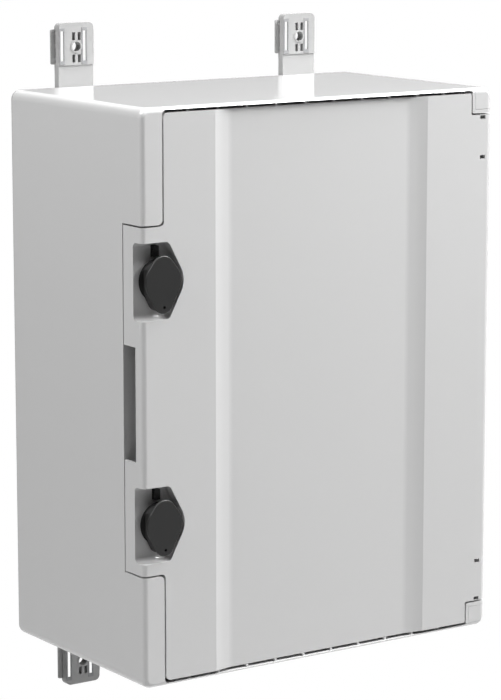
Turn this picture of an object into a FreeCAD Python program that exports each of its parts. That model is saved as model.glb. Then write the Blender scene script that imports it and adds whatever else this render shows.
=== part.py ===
"""Wall-mounted DC combiner box: moulded cabinet, hinged door, fuse holders, busbars, surge arrester and switch.

Every piece is drawn in millimetres from the cabinet's left, front, bottom corner: X to the right, Y from the
front face towards the wall, Z up. At export each piece is moved so that the origin is the centre of the four
wall holes, on the wall.
"""
import FreeCAD, Part
import math
import os

V = FreeCAD.Vector

# --- driving dimensions: cabinet -------------------------------------------------------------------------
WIDTH, DEPTH, HEIGHT = 449.0, 265.0, 600.0
WALL = 4.0                      # moulded wall of the body
CORNER_R = 10.0                 # edges that run front to back
FRONT_R, BACK_R = 5.7, 8.0      # edges around the front and the back
STANDOFF = 1.0                  # gap between the body's back and the wall
GAP = 1.8                       # joint line between door and body
LIP = 2.8                       # body's lip above and below the door
LIP_GAP = 3.0                   # joint line under the lip
COLUMN_X = 26.3                 # joint line beside the body's left columns
LOCK_Z = (118.8, 480.7)         # joint lines below and above the lock strip
CAP_X, CAP_Z = 421.9, 28.3      # joint lines beside the hinge corners, from the left and from each end
JOINT_R = 5.5                   # rounding of the joint line's corners
RIB_FIRST, RIB_PITCH, RIB_COUNT, RIB_WIDTH = 57.7, 36.46, 10, 2.4

# --- driving dimensions: opening, hinge and door ---------------------------------------------------------
COLLAR = 3.0                    # wall of the seal collar
MOUTH = (60.0, 412.0, 36.0, 564.0)      # opening inside the collar: x low, x high, z low, z high
COLLAR_Y = 12.0                 # front edge of the collar
TROUGH_Y = 20.0                 # floor of the trough outside the collar
HINGE_X, HINGE_Y = 437.0, 12.0  # hinge axis
COVE_R = 16.0                   # body's clearance cove around the hinge axis
PIN_R = 3.0
PIN_CLEARANCE = 0.05
HINGE_BOSS_R = 6.5
HINGE_BOSS_LENGTH = 48.0
CAP_RELIEF_R = 19.0             # the door's edge beside a hinge corner is hollowed to this radius
SKIN = 3.5                      # door's front skin
SKIRT = 3.2                     # door's edge walls
SKIRT_Y = 14.0                  # rear edge of the top and bottom edge walls
HINGE_SKIRT_Y = 17.0            # rear edge of the edge wall at the hinge
LOCK_SKIRT_Y = 34.5             # rear edge of the lock strip's wrap on the left side
PANEL_DEPTH = 4.0               # the door's middle panel is set back by this much
PANEL_OUTER = (89.4, 361.5)     # creases where the set-back begins
PANEL_INNER = (112.8, 335.8)    # where it has run out flat
PANEL_BEND, PANEL_BEND_Y = 5.0, 3.69    # the slope bends flat over this width, from this depth
SLOPE_BOW, BEND_BOW = 0.356, 0.076      # sagitta of the slope and of its bend
SEAL_WIDTH, SEAL_Y0, SEAL_Y1 = 8.0, 8.0, 11.6
GRIP = (17.7, 237.0, 357.0)     # grip notch in the wrap: front edge y, z low, z high
GRIP_LIP = 5.0

# --- driving dimensions: locks ---------------------------------------------------------------------------
KNOB_X = 24.8
KNOB_ZS = (("upper", 424.2), ("lower", 172.0))
POCKET_FLOOR = 16.0
POCKET_HALF = 39.8
POCKET_CORNER_X, POCKET_VERTEX_X = 32.8, 54.0
POCKET_WALL = 3.0
KNOB_R = 21.5
KNOB_LOWER = (33.0, 11.0)       # reach of the lower lobe from the axis, and its radius
KNOB_UPPER = (26.3, 14.0)       # reach and radius of the upper lobe
KNOB_DISC_R = 22.4
KNOB_PROUD = 3.0                # the knob's plate stands in front of the door by this much
SPINDLE_R = 5.0
CAM_REACH = 27.0

# --- driving dimensions: wall brackets -------------------------------------------------------------------
BRACKET_XS = (("left", 79.6), ("right", 374.3))
BRACKET_WIDTH, BRACKET_THICKNESS = 43.3, 9.0
BRACKET_OUT = 69.2              # how far a bracket reaches past the body
BRACKET_IN = 60.0               # how far it runs behind the body
BRACKET_HOLE_OUT = 43.5         # wall hole, measured from the body's end
BRACKET_HOLE_R = 5.3
BLOCK_OUT = 23.5                # where the thicker end block begins
BRACKET_SCREW_END = 253.5       # blind end of the screw holes in the body's seats
WING, WING_THICKNESS = 5.3, 1.8         # flange along each side of the end block, against the wall
BLOCK_SKIN = 2.6                # front wall of the hollow end block
BLOCK_SIDE = 1.5                # its side walls
BLOCK_RIB = (-6.6, 6.9)         # solid rib behind the wall hole, from the bracket's centre line
LINER_XS = (-17.8, 10.2)        # the two slot liners, from the bracket's centre line
LINER_HALF, LINER_Z = 3.65, (0.6, 40.4)     # half width of a liner; its lower and upper end in the block
LINER_PROUD, LINER_THICKNESS = 0.4, 1.5
SLOT_HALF, SLOT_Z = 2.0, (4.4, 36.9)        # opening in a liner

# --- driving dimensions: inside --------------------------------------------------------------------------
PLATE = (66.0, 406.0, 42.0, 558.0)
PLATE_Y, PLATE_THICKNESS = 236.0, 3.0
PLATE_HOLES_X, PLATE_HOLES_Z = (80.0, 392.0), (90.0, 510.0)
RAIL_ZS = (("upper", 430.0), ("lower", 240.0))
RAIL_LENGTH, RAIL_HEIGHT, RAIL_DEPTH, RAIL_SHEET = 330.0, 35.0, 7.5, 1.0
RAIL_HAT = 27.0
POLE_PITCH = 18.0
FUSE_COUNT, FUSE_X0, FUSE_PITCH, FUSE_WIDTH = 6, 122.0, 36.0, 35.6
FUSE_HEIGHT, FUSE_FRONT_Y = 81.0, 179.0
FUSE_PIVOT_Y, FUSE_PIVOT_DZ = 177.0, -18.0
LINK_R, LINK_LENGTH = 5.15, 38.0
SURGE_X0, SURGE_POLES, SURGE_PITCH = 104.0, 3, 18.0
SWITCH_X, SWITCH_WIDTH, SWITCH_FRONT_Y = 268.0, 72.0, 168.0
BAR_THICKNESS, BAR_WIDTH = 3.0, 12.0
EARTH_X, EARTH_Z, EARTH_LENGTH = 236.0, 112.0, 150.0
EARTH_SCREWS = 8
GLAND_ROWS_Y, GLAND_X0, GLAND_PITCH, GLAND_PER_ROW = (112.0, 158.0), 74.0, 37.0, 6
OUTPUT_GLANDS = ((310.0, 135.0), (368.0, 135.0))
EARTH_GLAND = (404.0, 185.0)


# --- small helpers ---------------------------------------------------------------------------------------
def block(x0, x1, y0, y1, z0, z1):
    """Box between two corners."""
    return Part.makeBox(x1 - x0, y1 - y0, z1 - z0, V(x0, y0, z0))


def rod_x(x0, x1, y, z, radius):
    return Part.makeCylinder(radius, x1 - x0, V(x0, y, z), V(1, 0, 0))


def rod_y(x, y0, y1, z, radius):
    return Part.makeCylinder(radius, y1 - y0, V(x, y0, z), V(0, 1, 0))


def rod_z(x, y, z0, z1, radius):
    return Part.makeCylinder(radius, z1 - z0, V(x, y, z0), V(0, 0, 1))


def cone_y(x, y0, y1, z, r0, r1):
    return Part.makeCone(r0, r1, y1 - y0, V(x, y0, z), V(0, 1, 0))


def hexagon_z(x, y, z0, z1, across_flats):
    """Hexagonal prism that stands along Z."""
    corner = across_flats / math.sqrt(3.0)
    turns = [math.radians(60.0 * i) for i in range(7)]
    wire = Part.makePolygon([V(x + corner * math.cos(a), y + corner * math.sin(a), z0) for a in turns])
    return Part.Face(wire).extrude(V(0, 0, z1 - z0))


def fuse_all(shapes):
    """One solid from several touching ones."""
    joined = shapes[0]
    for shape in shapes[1:]:
        joined = joined.fuse(shape)
    return joined.removeSplitter()


def rounded_prism(corners, y0, y1):
    """Prism along Y from corners (x, z, radius); a radius of 0 leaves the corner sharp."""
    edges, count, ends = [], len(corners), []
    for i, (x, z, radius) in enumerate(corners):
        here = V(x, y0, z)
        before = V(corners[i - 1][0], y0, corners[i - 1][1]) - here
        after = V(corners[(i + 1) % count][0], y0, corners[(i + 1) % count][1]) - here
        if radius == 0:
            ends.append((here, here))
            continue
        half = before.getAngle(after) / 2.0
        reach = radius / math.tan(half)
        start = here + before.normalize() * reach
        stop = here + after.normalize() * reach
        bisector = (before + after).normalize()
        middle = here + bisector * (radius / math.sin(half) - radius)
        ends.append((start, stop))
        edges.append(Part.Arc(start, middle, stop).toShape())
    for i in range(count):
        start, stop = ends[i][1], ends[(i + 1) % count][0]
        if start.distanceToPoint(stop) > 1e-6:
            edges.append(Part.LineSegment(start, stop).toShape())
    wire = Part.Wire(Part.__sortEdges__(edges))
    return Part.Face(wire).extrude(V(0, y1 - y0, 0))


def frame_prism(inner, wall, y0, y1):
    """Rectangular ring along Y whose hole is inner (x low, x high, z low, z high)."""
    x0, x1, z0, z1 = inner
    outer = block(x0 - wall, x1 + wall, y0, y1, z0 - wall, z1 + wall)
    return outer.cut(block(x0, x1, y0 - 1, y1 + 1, z0, z1))


def grown(rectangle, margin):
    x0, x1, z0, z1 = rectangle
    return (x0 - margin, x1 + margin, z0 - margin, z1 + margin)


def edges_where(shape, test):
    """Edges whose two ends and middle all pass the test."""
    kept = []
    for edge in shape.Edges:
        points = [vertex.Point for vertex in edge.Vertexes] + [edge.CenterOfMass]
        if all(test(point) for point in points):
            kept.append(edge)
    return kept


def pan_screw_y(x, y_seat, z, shank_r, length, head_r, head_height):
    """Pan head screw driven towards +Y, with a cross recess; y_seat is the plane under its head."""
    head = rod_y(x, y_seat - head_height, y_seat, z, head_r)
    head = head.makeFillet(head_height * 0.4, edges_where(head, lambda p: p.y < y_seat - head_height + 1e-6))
    screw = head.fuse(rod_y(x, y_seat, y_seat + length, z, shank_r))
    slot, half = head_r * 0.6, head_r * 0.12
    for sx, sz in ((slot, half), (half, slot)):
        screw = screw.cut(block(x - sx, x + sx, y_seat - head_height - 1, y_seat - head_height * 0.45,
                                z - sz, z + sz))
    return screw


# --- cabinet ---------------------------------------------------------------------------------------------
def outer_form():
    """The closed cabinet's outside: body and door together."""
    form = block(0, WIDTH, 0, DEPTH, 0, HEIGHT)
    along_y = [e for e in form.Edges if abs(e.tangentAt(e.FirstParameter).y) > 0.99]
    form = form.makeFillet(CORNER_R, along_y)
    form = form.makeFillet(FRONT_R, edges_where(form, lambda p: p.y < 1e-6))
    return form.makeFillet(BACK_R, edges_where(form, lambda p: p.y > DEPTH - 1e-6))


def door_outline(shrink, overshoot):
    """Corners of the door seen from the front; shrink is how far inside the joint's centre line."""
    left, right = COLUMN_X + shrink, CAP_X - shrink
    bottom = LIP + LIP_GAP / 2.0 + shrink * LIP_GAP / GAP
    top = HEIGHT - bottom
    lock0, lock1 = LOCK_Z[0] + shrink, LOCK_Z[1] - shrink
    cap0, cap1 = CAP_Z + shrink, HEIGHT - CAP_Z - shrink
    return [(-overshoot, lock0, 0), (left, lock0, JOINT_R), (left, bottom, JOINT_R), (right, bottom, 2.0),
            (right, cap0, 2.0), (WIDTH + overshoot, cap0, 0), (WIDTH + overshoot, cap1, 0),
            (right, cap1, 2.0), (right, top, 2.0), (left, top, JOINT_R), (left, lock1, JOINT_R),
            (-overshoot, lock1, 0)]


def bracket_seat(x, top, margin):
    """Space of a bracket behind the body, grown by margin."""
    z0, z1 = (HEIGHT - BRACKET_IN, HEIGHT + 1) if top else (-1, BRACKET_IN)
    half = BRACKET_WIDTH / 2.0 + margin
    front = DEPTH + STANDOFF - BRACKET_THICKNESS
    return block(x - half, x + half, front - margin, DEPTH + 2, z0 - margin, z1 + margin)


def gland_sites():
    """(x, y, hole radius) of every hole in the bottom wall."""
    sites = [(GLAND_X0 + i * GLAND_PITCH, y, 10.2) for y in GLAND_ROWS_Y for i in range(GLAND_PER_ROW)]
    sites += [(x, y, 16.2) for x, y in OUTPUT_GLANDS]
    return sites + [(EARTH_GLAND[0], EARTH_GLAND[1], 8.2)]


def body_cavity():
    """Hollow behind the front frame, less everything that is built into it."""
    back = DEPTH - WALL
    hollow = block(WALL, WIDTH - WALL, TROUGH_Y + WALL, back, WALL, HEIGHT - WALL)
    along_y = [e for e in hollow.Edges if abs(e.tangentAt(e.FirstParameter).y) > 0.99]
    hollow = hollow.makeFillet(CORNER_R - WALL, along_y)
    built_in = [rod_z(HINGE_X, HINGE_Y, 0, HEIGHT, COVE_R + COLLAR)]
    trough_floor = LOCK_SKIRT_Y + 1.5
    built_in.append(block(0, MOUTH[0], TROUGH_Y, trough_floor + WALL, LOCK_Z[0] - GAP / 2 - WALL,
                          LOCK_Z[1] + GAP / 2 + WALL))
    for _, x in BRACKET_XS:
        built_in += [bracket_seat(x, top, WALL) for top in (True, False)]
    for x in PLATE_HOLES_X:
        for z in PLATE_HOLES_Z:
            built_in.append(rod_y(x, PLATE_Y + PLATE_THICKNESS, back + 1, z, 8.0))
    for piece in built_in:
        hollow = hollow.cut(piece)
    return hollow


def enclosure_body(form):
    body = form.cut(body_cavity())
    front = rounded_prism(door_outline(-GAP / 2.0, 5.0), -5, TROUGH_Y)
    collar_outside = block(*grown(MOUTH, COLLAR)[:2], COLLAR_Y, TROUGH_Y, *grown(MOUTH, COLLAR)[2:])
    body = body.cut(front.cut(collar_outside))
    body = body.cut(block(MOUTH[0], MOUTH[1], -1, TROUGH_Y + WALL + 1, MOUTH[2], MOUTH[3]))
    lock0, lock1 = LOCK_Z[0] - GAP / 2, LOCK_Z[1] + GAP / 2
    body = body.cut(block(-1, MOUTH[0] - COLLAR, -1, LOCK_SKIRT_Y + 1.5, lock0, lock1))
    cap0, cap1 = CAP_Z - GAP / 2, HEIGHT - CAP_Z + GAP / 2
    body = body.cut(rod_z(HINGE_X, HINGE_Y, cap0, cap1, COVE_R))
    body = body.cut(block(HINGE_X, WIDTH + 1, -1, HINGE_Y, cap0, cap1))
    for z0, z1 in ((WALL, lock0 - WALL), (lock1 + WALL, HEIGHT - WALL)):
        body = body.cut(block(WALL, COLUMN_X - GAP / 2 - WALL, WALL, TROUGH_Y + WALL + 1, z0, z1))
    for z0, z1 in hinge_cap_spans():
        body = body.cut(hinge_cap_block(z0, z1, 0.0))
    body = body.cut(rod_z(HINGE_X, HINGE_Y, 2.0, HEIGHT - 2.0, PIN_R + 0.2))
    for _, x in BRACKET_XS:
        for top in (True, False):
            body = body.cut(bracket_seat(x, top, 0.15))
            for _, z in bracket_screw_sites(x, top):
                body = body.cut(rod_y(x, BRACKET_SCREW_END, DEPTH, z, 2.2))
    for x in PLATE_HOLES_X:
        for z in PLATE_HOLES_Z:
            body = body.cut(rod_y(x, PLATE_Y, DEPTH - 8, z, 2.5))
    for x, y, radius in gland_sites():
        body = body.cut(rod_z(x, y, -1, WALL + 1, radius))
    for z in [z for _, z in KNOB_ZS]:
        body = body.fuse(block(MOUTH[0] - COLLAR - 10, MOUTH[0] - 1, 23.0, 26.5, z - 14, z + 14))
    for i in range(RIB_COUNT):
        x = RIB_FIRST + i * RIB_PITCH
        for z0, z1 in ((LIP - 0.5, LIP + LIP_GAP - 0.4), (HEIGHT - LIP - LIP_GAP + 0.4, HEIGHT - LIP + 0.5)):
            body = body.fuse(block(x - RIB_WIDTH / 2, x + RIB_WIDTH / 2, 3.0, 9.0, z0, z1))
    return body.removeSplitter()


# --- hinge -----------------------------------------------------------------------------------------------
def hinge_cap_spans():
    edge = CAP_Z - 5.0
    return ((-1.0, edge), (HEIGHT - edge, HEIGHT + 1.0))


def hinge_cap_block(z0, z1, clearance):
    return block(CAP_X + 4.5 + clearance, WIDTH + 1, -1, 22.0 - clearance, z0 + clearance, z1 - clearance)


def hinge_cap(form, upper):
    z0, z1 = hinge_cap_spans()[1 if upper else 0]
    cap = form.common(hinge_cap_block(z0, z1, 0.3))
    return cap.cut(rod_z(HINGE_X, HINGE_Y, 3.0, HEIGHT - 3.0, PIN_R))


def hinge_pin(upper):
    z0, z1 = (HEIGHT - CAP_Z - HINGE_BOSS_LENGTH + 4, HEIGHT - 3.2) if upper else (3.2, CAP_Z + HINGE_BOSS_LENGTH - 4)
    pin = rod_z(HINGE_X, HINGE_Y, z0, z1, PIN_R)
    return pin.makeChamfer(0.8, edges_where(pin, lambda p: abs(p.z - z0) < 1e-6 or abs(p.z - z1) < 1e-6))


# --- door ------------------------------------------------------------------------------------------------
def bowed(start, stop, bow):
    """Arc between two points whose middle lies off the chord, towards +Y, by bow."""
    middle = (start + stop) * 0.5
    chord = stop - start
    side = V(-chord.y, chord.x, 0) * (bow / chord.Length)
    return Part.Arc(start, middle + side, stop).toShape()


def panel_profile(offset, y_far):
    """Face in XY bounded in front by the door's front line, moved back by offset."""
    (x0, x3), (x1, x2) = PANEL_OUTER, PANEL_INNER
    outline = [V(-5, offset, 0), V(x0, offset, 0), V(x1 - PANEL_BEND, offset + PANEL_BEND_Y, 0),
               V(x1, offset + PANEL_DEPTH, 0), V(x2, offset + PANEL_DEPTH, 0),
               V(x2 + PANEL_BEND, offset + PANEL_BEND_Y, 0), V(x3, offset, 0), V(WIDTH + 5, offset, 0),
               V(WIDTH + 5, y_far, 0), V(-5, y_far, 0)]
    bows = {1: SLOPE_BOW, 2: BEND_BOW, 4: BEND_BOW, 5: SLOPE_BOW}
    edges = []
    for i, start in enumerate(outline):
        stop = outline[(i + 1) % len(outline)]
        straight = Part.LineSegment(start, stop).toShape()
        edges.append(bowed(start, stop, bows[i]) if i in bows else straight)
    return Part.Face(Part.Wire(edges))


def pocket_prism(z, margin, y0, y1, x_left):
    """Lock pocket seen from the front: square at the left, pointed at the right."""
    half = POCKET_HALF + margin
    corner, vertex = POCKET_CORNER_X + margin * 0.6, POCKET_VERTEX_X + margin * 1.13
    return rounded_prism([(x_left, z - half, 0), (corner, z - half, 6.0), (vertex, z, 26.0),
                          (corner, z + half, 6.0), (x_left, z + half, 0)], y0, y1)


def door_panel(form):
    gap = GAP / 2.0
    door = form.common(rounded_prism(door_outline(gap, 5.0), -5, LOCK_SKIRT_Y))
    door = door.common(panel_profile(0.0, 60.0).extrude(V(0, 0, HEIGHT)))
    inside = rounded_prism(door_outline(gap + SKIRT, -SKIRT), 0, 60)
    door = door.cut(inside.common(panel_profile(SKIN, 80.0).extrude(V(0, 0, HEIGHT))))
    for z0, z1 in ((-1, LOCK_Z[0] + gap), (LOCK_Z[1] - gap, HEIGHT + 1)):
        door = door.cut(block(-1, WIDTH + 1, SKIRT_Y, 60, z0, z1))
    door = door.cut(block(HINGE_X, WIDTH + 1, HINGE_SKIRT_Y, 60, 0, HEIGHT))
    land_middle = grown(MOUTH, COLLAR / 2.0)
    land = frame_prism(grown(land_middle, -SEAL_WIDTH / 2 - 2), SEAL_WIDTH + 4, 2.0, SEAL_Y1 - 1.6)
    groove = frame_prism(grown(land_middle, -SEAL_WIDTH / 2), SEAL_WIDTH, SEAL_Y0, SEAL_Y1)
    door = door.fuse(land.cut(groove).common(panel_profile(1.0, 60.0).extrude(V(0, 0, HEIGHT))))
    for upper in (True, False):
        door = add_hinge_boss(relieve_cap_edge(door, upper), upper)
    for _, z in KNOB_ZS:
        door = add_lock_pocket(door, form, z)
    grip_y, grip0, grip1 = GRIP
    door = door.cut(block(-1, SKIRT + 1, grip_y, LOCK_SKIRT_Y + 1, grip0, grip1))
    lip = Part.makePolygon([V(-0.01, grip_y + 0.01, grip0), V(-0.01, grip_y - GRIP_LIP, grip0),
                            V(SKIRT + 0.1, grip_y + 0.01, grip0), V(-0.01, grip_y + 0.01, grip0)])
    door = door.cut(Part.Face(lip).extrude(V(0, 0, grip1 - grip0)))
    return door.removeSplitter()


def relieve_cap_edge(door, upper):
    """Hollow the door's edge beside a hinge corner around the hinge axis, so that it swings clear of the body."""
    edge, end = CAP_Z + GAP / 2, LIP + LIP_GAP
    z0, z1 = (HEIGHT - edge, HEIGHT - end) if upper else (end, edge)
    backing = rod_z(HINGE_X, HINGE_Y, z0, z1, CAP_RELIEF_R + SKIRT)
    door = door.fuse(backing.common(block(CAP_X - 10, CAP_X - GAP / 2, 1.0, SKIRT_Y, z0, z1)))
    swept = (z0 + GAP - 0.3, z1 + 1) if upper else (z0 - 1, z1 - GAP + 0.3)
    return door.cut(rod_z(HINGE_X, HINGE_Y, *swept, CAP_RELIEF_R))


def add_hinge_boss(door, upper):
    end = HEIGHT - CAP_Z - GAP / 2 if upper else CAP_Z + GAP / 2
    z0, z1 = (end - HINGE_BOSS_LENGTH, end) if upper else (end, end + HINGE_BOSS_LENGTH)
    boss = rod_z(HINGE_X, HINGE_Y, z0, z1, HINGE_BOSS_R)
    boss = boss.fuse(block(HINGE_X - HINGE_BOSS_R, HINGE_X + HINGE_BOSS_R, 2.0, HINGE_Y, z0, z1))
    door = door.fuse(boss).cut(rod_z(HINGE_X, HINGE_Y, z0 - 1, z1 + 1, PIN_R + PIN_CLEARANCE))
    for z in (z0 + 2.2, z1 - 2.8):
        door = door.cut(block(HINGE_X - 3.5, HINGE_X + 3.5, -1, HINGE_Y - PIN_R, z - 2.0, z + 2.0))
    return door


def add_lock_pocket(door, form, z):
    shell = pocket_prism(z, POCKET_WALL, 1.0, POCKET_FLOOR + POCKET_WALL, -1.0)
    door = door.fuse(shell.common(form))
    pocket = pocket_prism(z, 0.0, 0.5, POCKET_FLOOR, -20.0)
    floor_edges = edges_where(pocket, lambda p: p.y > POCKET_FLOOR - 1e-6 and p.x > -19.0)
    pocket = pocket.makeFillet(5.0, floor_edges)
    door = door.cut(pocket).cut(pocket_prism(z, 0.0, -5.0, 0.6, -20.0))
    door = door.cut(rod_y(KNOB_X, POCKET_FLOOR - 1, POCKET_FLOOR + POCKET_WALL + 1, z, 8.1))
    return door.cut(block(*seal_lug_span(z, 0.9)))


def door_seal():
    return frame_prism(grown(MOUTH, COLLAR / 2.0 - SEAL_WIDTH / 2 + 0.1), SEAL_WIDTH - 0.2, SEAL_Y0, SEAL_Y1)


# --- locks -----------------------------------------------------------------------------------------------
def seal_lug_span(z, margin):
    """Corners of the sealing lug that passes through the pocket floor above the knob."""
    return (KNOB_X - 3.0 - margin, KNOB_X + 3.4 + margin, 11.5, POCKET_FLOOR + POCKET_WALL + 0.5,
            z + KNOB_DISC_R + 1.6 - margin, z + POCKET_HALF - 5.0 + margin)


def lock_housing(z):
    back = POCKET_FLOOR + POCKET_WALL
    housing = rod_y(KNOB_X, POCKET_FLOOR, back + 8.0, z, 8.0)
    flange = rounded_prism([(KNOB_X - 15, z - 15, 5), (KNOB_X + 15, z - 15, 5),
                            (KNOB_X + 11, z + POCKET_HALF - 2, 4), (KNOB_X - 15, z + POCKET_HALF - 2, 4)],
                           back, back + 3.0)
    lug = block(*seal_lug_span(z, 0.0))
    lug = lug.cut(rod_x(0, 60, 13.6, z + POCKET_HALF - 8.5, 1.2))
    housing = fuse_all([housing, flange, lug])
    return housing.cut(rod_y(KNOB_X, 0, 60, z, SPINDLE_R + PIN_CLEARANCE))


def knob_prism(z, shrink, lobes, y0, y1):
    """Knob outline along Y: a circle and lobes, each (direction, reach, radius); shrink makes it smaller."""
    radius = KNOB_R - shrink
    pieces = [rod_y(KNOB_X, y0, y1, z, radius)]
    for sign, (reach, lobe_r) in lobes:
        tip_r = lobe_r - shrink
        centre = reach - lobe_r
        rise = (radius - tip_r) / centre
        run = math.sqrt(1.0 - rise * rise)
        corners = [(KNOB_X - radius * run, z + sign * radius * rise), (KNOB_X + radius * run, z + sign * radius * rise),
                   (KNOB_X + tip_r * run, z + sign * (centre + tip_r * rise)),
                   (KNOB_X - tip_r * run, z + sign * (centre + tip_r * rise))]
        pieces.append(rounded_prism([(x, zz, 0) for x, zz in corners], y0, y1))
        pieces.append(rod_y(KNOB_X, y0, y1, z + sign * centre, tip_r))
    return fuse_all(pieces)


def lock_knob(z):
    lower, upper = (-1.0, KNOB_LOWER), (1.0, KNOB_UPPER)
    plate = knob_prism(z, 0.0, (lower, upper), -KNOB_PROUD, -0.5)
    plate = plate.makeFillet(1.2, edges_where(plate, lambda p: p.y < -KNOB_PROUD + 1e-6))
    stem = knob_prism(z, 1.5, (lower,), -0.5, 12.5)
    thumb = Part.makeCylinder(11.0, 27.0, V(KNOB_X - KNOB_R - 5.0, 5.2, z - 13.5), V(0, 0, 1))
    stem = stem.cut(thumb)
    disc = rod_y(KNOB_X, 12.5, POCKET_FLOOR - 0.4, z, KNOB_DISC_R - 5.5)
    rim = cone_y(KNOB_X, 9.5, 12.5, z, KNOB_DISC_R, KNOB_DISC_R - 5.5)
    spindle = rod_y(KNOB_X, POCKET_FLOOR - 1.0, 31.0, z, SPINDLE_R)
    knob = fuse_all([plate, stem, rim, disc, spindle])
    for x0, x1 in ((-6.0, -3.6), (3.6, 6.0)):
        knob = knob.cut(block(KNOB_X + x0, KNOB_X + x1, 27.6, 31.5, z - 6, z + 6))
    knob = knob.cut(rod_y(KNOB_X, 22.0, 32.0, z, 2.0))
    return knob.cut(rod_y(KNOB_X + 0.6, -5, 20, z - 26.5, 1.5))


def lock_cam(z):
    arm = rounded_prism([(KNOB_X - 8, z - 9, 6), (KNOB_X + 8, z - 9, 6), (KNOB_X + 6, z + CAM_REACH, 4),
                         (KNOB_X - 6, z + CAM_REACH, 4)], 28.0, 31.0)
    hole = rod_y(KNOB_X, 20, 40, z, SPINDLE_R + 0.05)
    hole = hole.common(block(KNOB_X - 3.65, KNOB_X + 3.65, 20, 40, z - 10, z + 10))
    return arm.cut(hole)


def cam_screw(z):
    head = rod_y(KNOB_X, 31.0, 33.6, z, 6.0)
    head = head.makeFillet(0.8, edges_where(head, lambda p: p.y > 33.6 - 1e-6))
    screw = head.fuse(rod_y(KNOB_X, 23.0, 31.0, z, 2.0))
    return screw.cut(block(KNOB_X - 5, KNOB_X + 5, 32.6, 34.0, z - 0.5, z + 0.5))


def lock_nuts():
    """The two ring nuts that clamp the lock housings behind the door."""
    nuts = []
    y0, y1 = POCKET_FLOOR + POCKET_WALL + 3.0, POCKET_FLOOR + POCKET_WALL + 7.0
    for _, z in KNOB_ZS:
        nut = rod_y(KNOB_X, y0, y1, z, 12.0).cut(rod_y(KNOB_X, y0 - 1, y1 + 1, z, 8.0))
        for i in range(6):
            a = math.radians(60 * i)
            nut = nut.cut(rod_y(KNOB_X + 12.6 * math.cos(a), y0 - 1, y1 + 1, z + 12.6 * math.sin(a), 1.6))
        nuts.append(nut)
    return Part.makeCompound(nuts)


# --- wall brackets ---------------------------------------------------------------------------------------
def bracket_screw_sites(x, top):
    """Places of the two screws that hold a bracket to the body."""
    return [(x, (HEIGHT - d) if top else d) for d in (16.0, 44.0)]


def block_front():
    return DEPTH + STANDOFF - BRACKET_THICKNESS - 1.0


def for_edge(shape, top):
    """A shape drawn for the top edge, mirrored if it belongs to the bottom one."""
    return shape if top else shape.mirror(V(0, 0, HEIGHT / 2.0), V(0, 0, 1))


def end_block(x, zb, z1):
    """The bracket's hollow outer end with its wall flanges and the deep notches beside the wall hole."""
    half, front, wall = BRACKET_WIDTH / 2.0, block_front(), DEPTH + STANDOFF
    end = rounded_prism([(x - half, zb, 1.0), (x + half, zb, 1.0), (x + half, z1, 6.0), (x - half, z1, 6.0)],
                        front, wall)
    inner = half - BLOCK_SIDE
    for x0, x1 in ((-inner, BLOCK_RIB[0]), (BLOCK_RIB[1], inner)):
        end = end.cut(block(x + x0, x + x1, front + BLOCK_SKIN, wall + 1, zb + BLOCK_SIDE, z1 - 5.0))
    for side in (-1, 1):
        xs = sorted((x + side * (half - 0.5), x + side * (half + WING)))
        flange = rounded_prism([(xs[0], zb + 1, 1.5), (xs[1], zb + 1, 1.5), (xs[1], z1 - 7, 1.5),
                                (xs[0], z1 - 7, 1.5)], wall - WING_THICKNESS, wall)
        end = end.fuse(flange)
        for z_low, z_high in ((3.0, 5.5), (8.0, 19.0), (23.0, 33.0), (35.0, 38.0)):
            xs = sorted((x + side * (half - 0.7), x + side * (half + 1.2)))
            end = end.cut(block(*xs, wall - WING_THICKNESS - 1.2, wall - WING_THICKNESS + 0.6, zb + z_low, zb + z_high))
    for dx in (-3.2, 3.8):
        for dz in (11.0, -12.9):
            zc = HEIGHT + BRACKET_HOLE_OUT + dz
            end = end.cut(block(x + dx - 1.8, x + dx + 1.8, front - 1, front + 7.0, zc - 4.3, zc + 4.3))
    return end


def wall_bracket(x, top):
    """Moulded wall tab."""
    half, wall = BRACKET_WIDTH / 2.0, DEPTH + STANDOFF
    front = wall - BRACKET_THICKNESS
    zb, hole_z = HEIGHT + BLOCK_OUT, HEIGHT + BRACKET_HOLE_OUT
    tab = block(x - half, x + half, front, wall, HEIGHT - BRACKET_IN + 0.2, zb + 1)
    tab = tab.fuse(end_block(x, zb, HEIGHT + BRACKET_OUT))
    tab = tab.fuse(rod_y(x, block_front() - 0.6, wall, hole_z, BRACKET_HOLE_R + 1.6))
    for dx in LINER_XS:
        tab = tab.cut(block(x + dx - LINER_HALF, x + dx + LINER_HALF, block_front() - 1,
                            block_front() + LINER_THICKNESS - LINER_PROUD, zb + LINER_Z[0], zb + LINER_Z[1]))
        tab = tab.cut(block(x + dx - SLOT_HALF, x + dx + SLOT_HALF + 1.5, block_front() - 1, wall - 4.0,
                            zb + SLOT_Z[0], zb + SLOT_Z[1]))
    tab = tab.cut(rod_y(x, front - 5, wall + 1, hole_z, BRACKET_HOLE_R))
    for _, z in bracket_screw_sites(x, True):
        tab = tab.cut(rod_y(x, front - 1, wall + 1, z, 2.6)).cut(rod_y(x, wall - 4.5, wall + 1, z, 5.2))
    return for_edge(tab.removeSplitter(), top)


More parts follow.
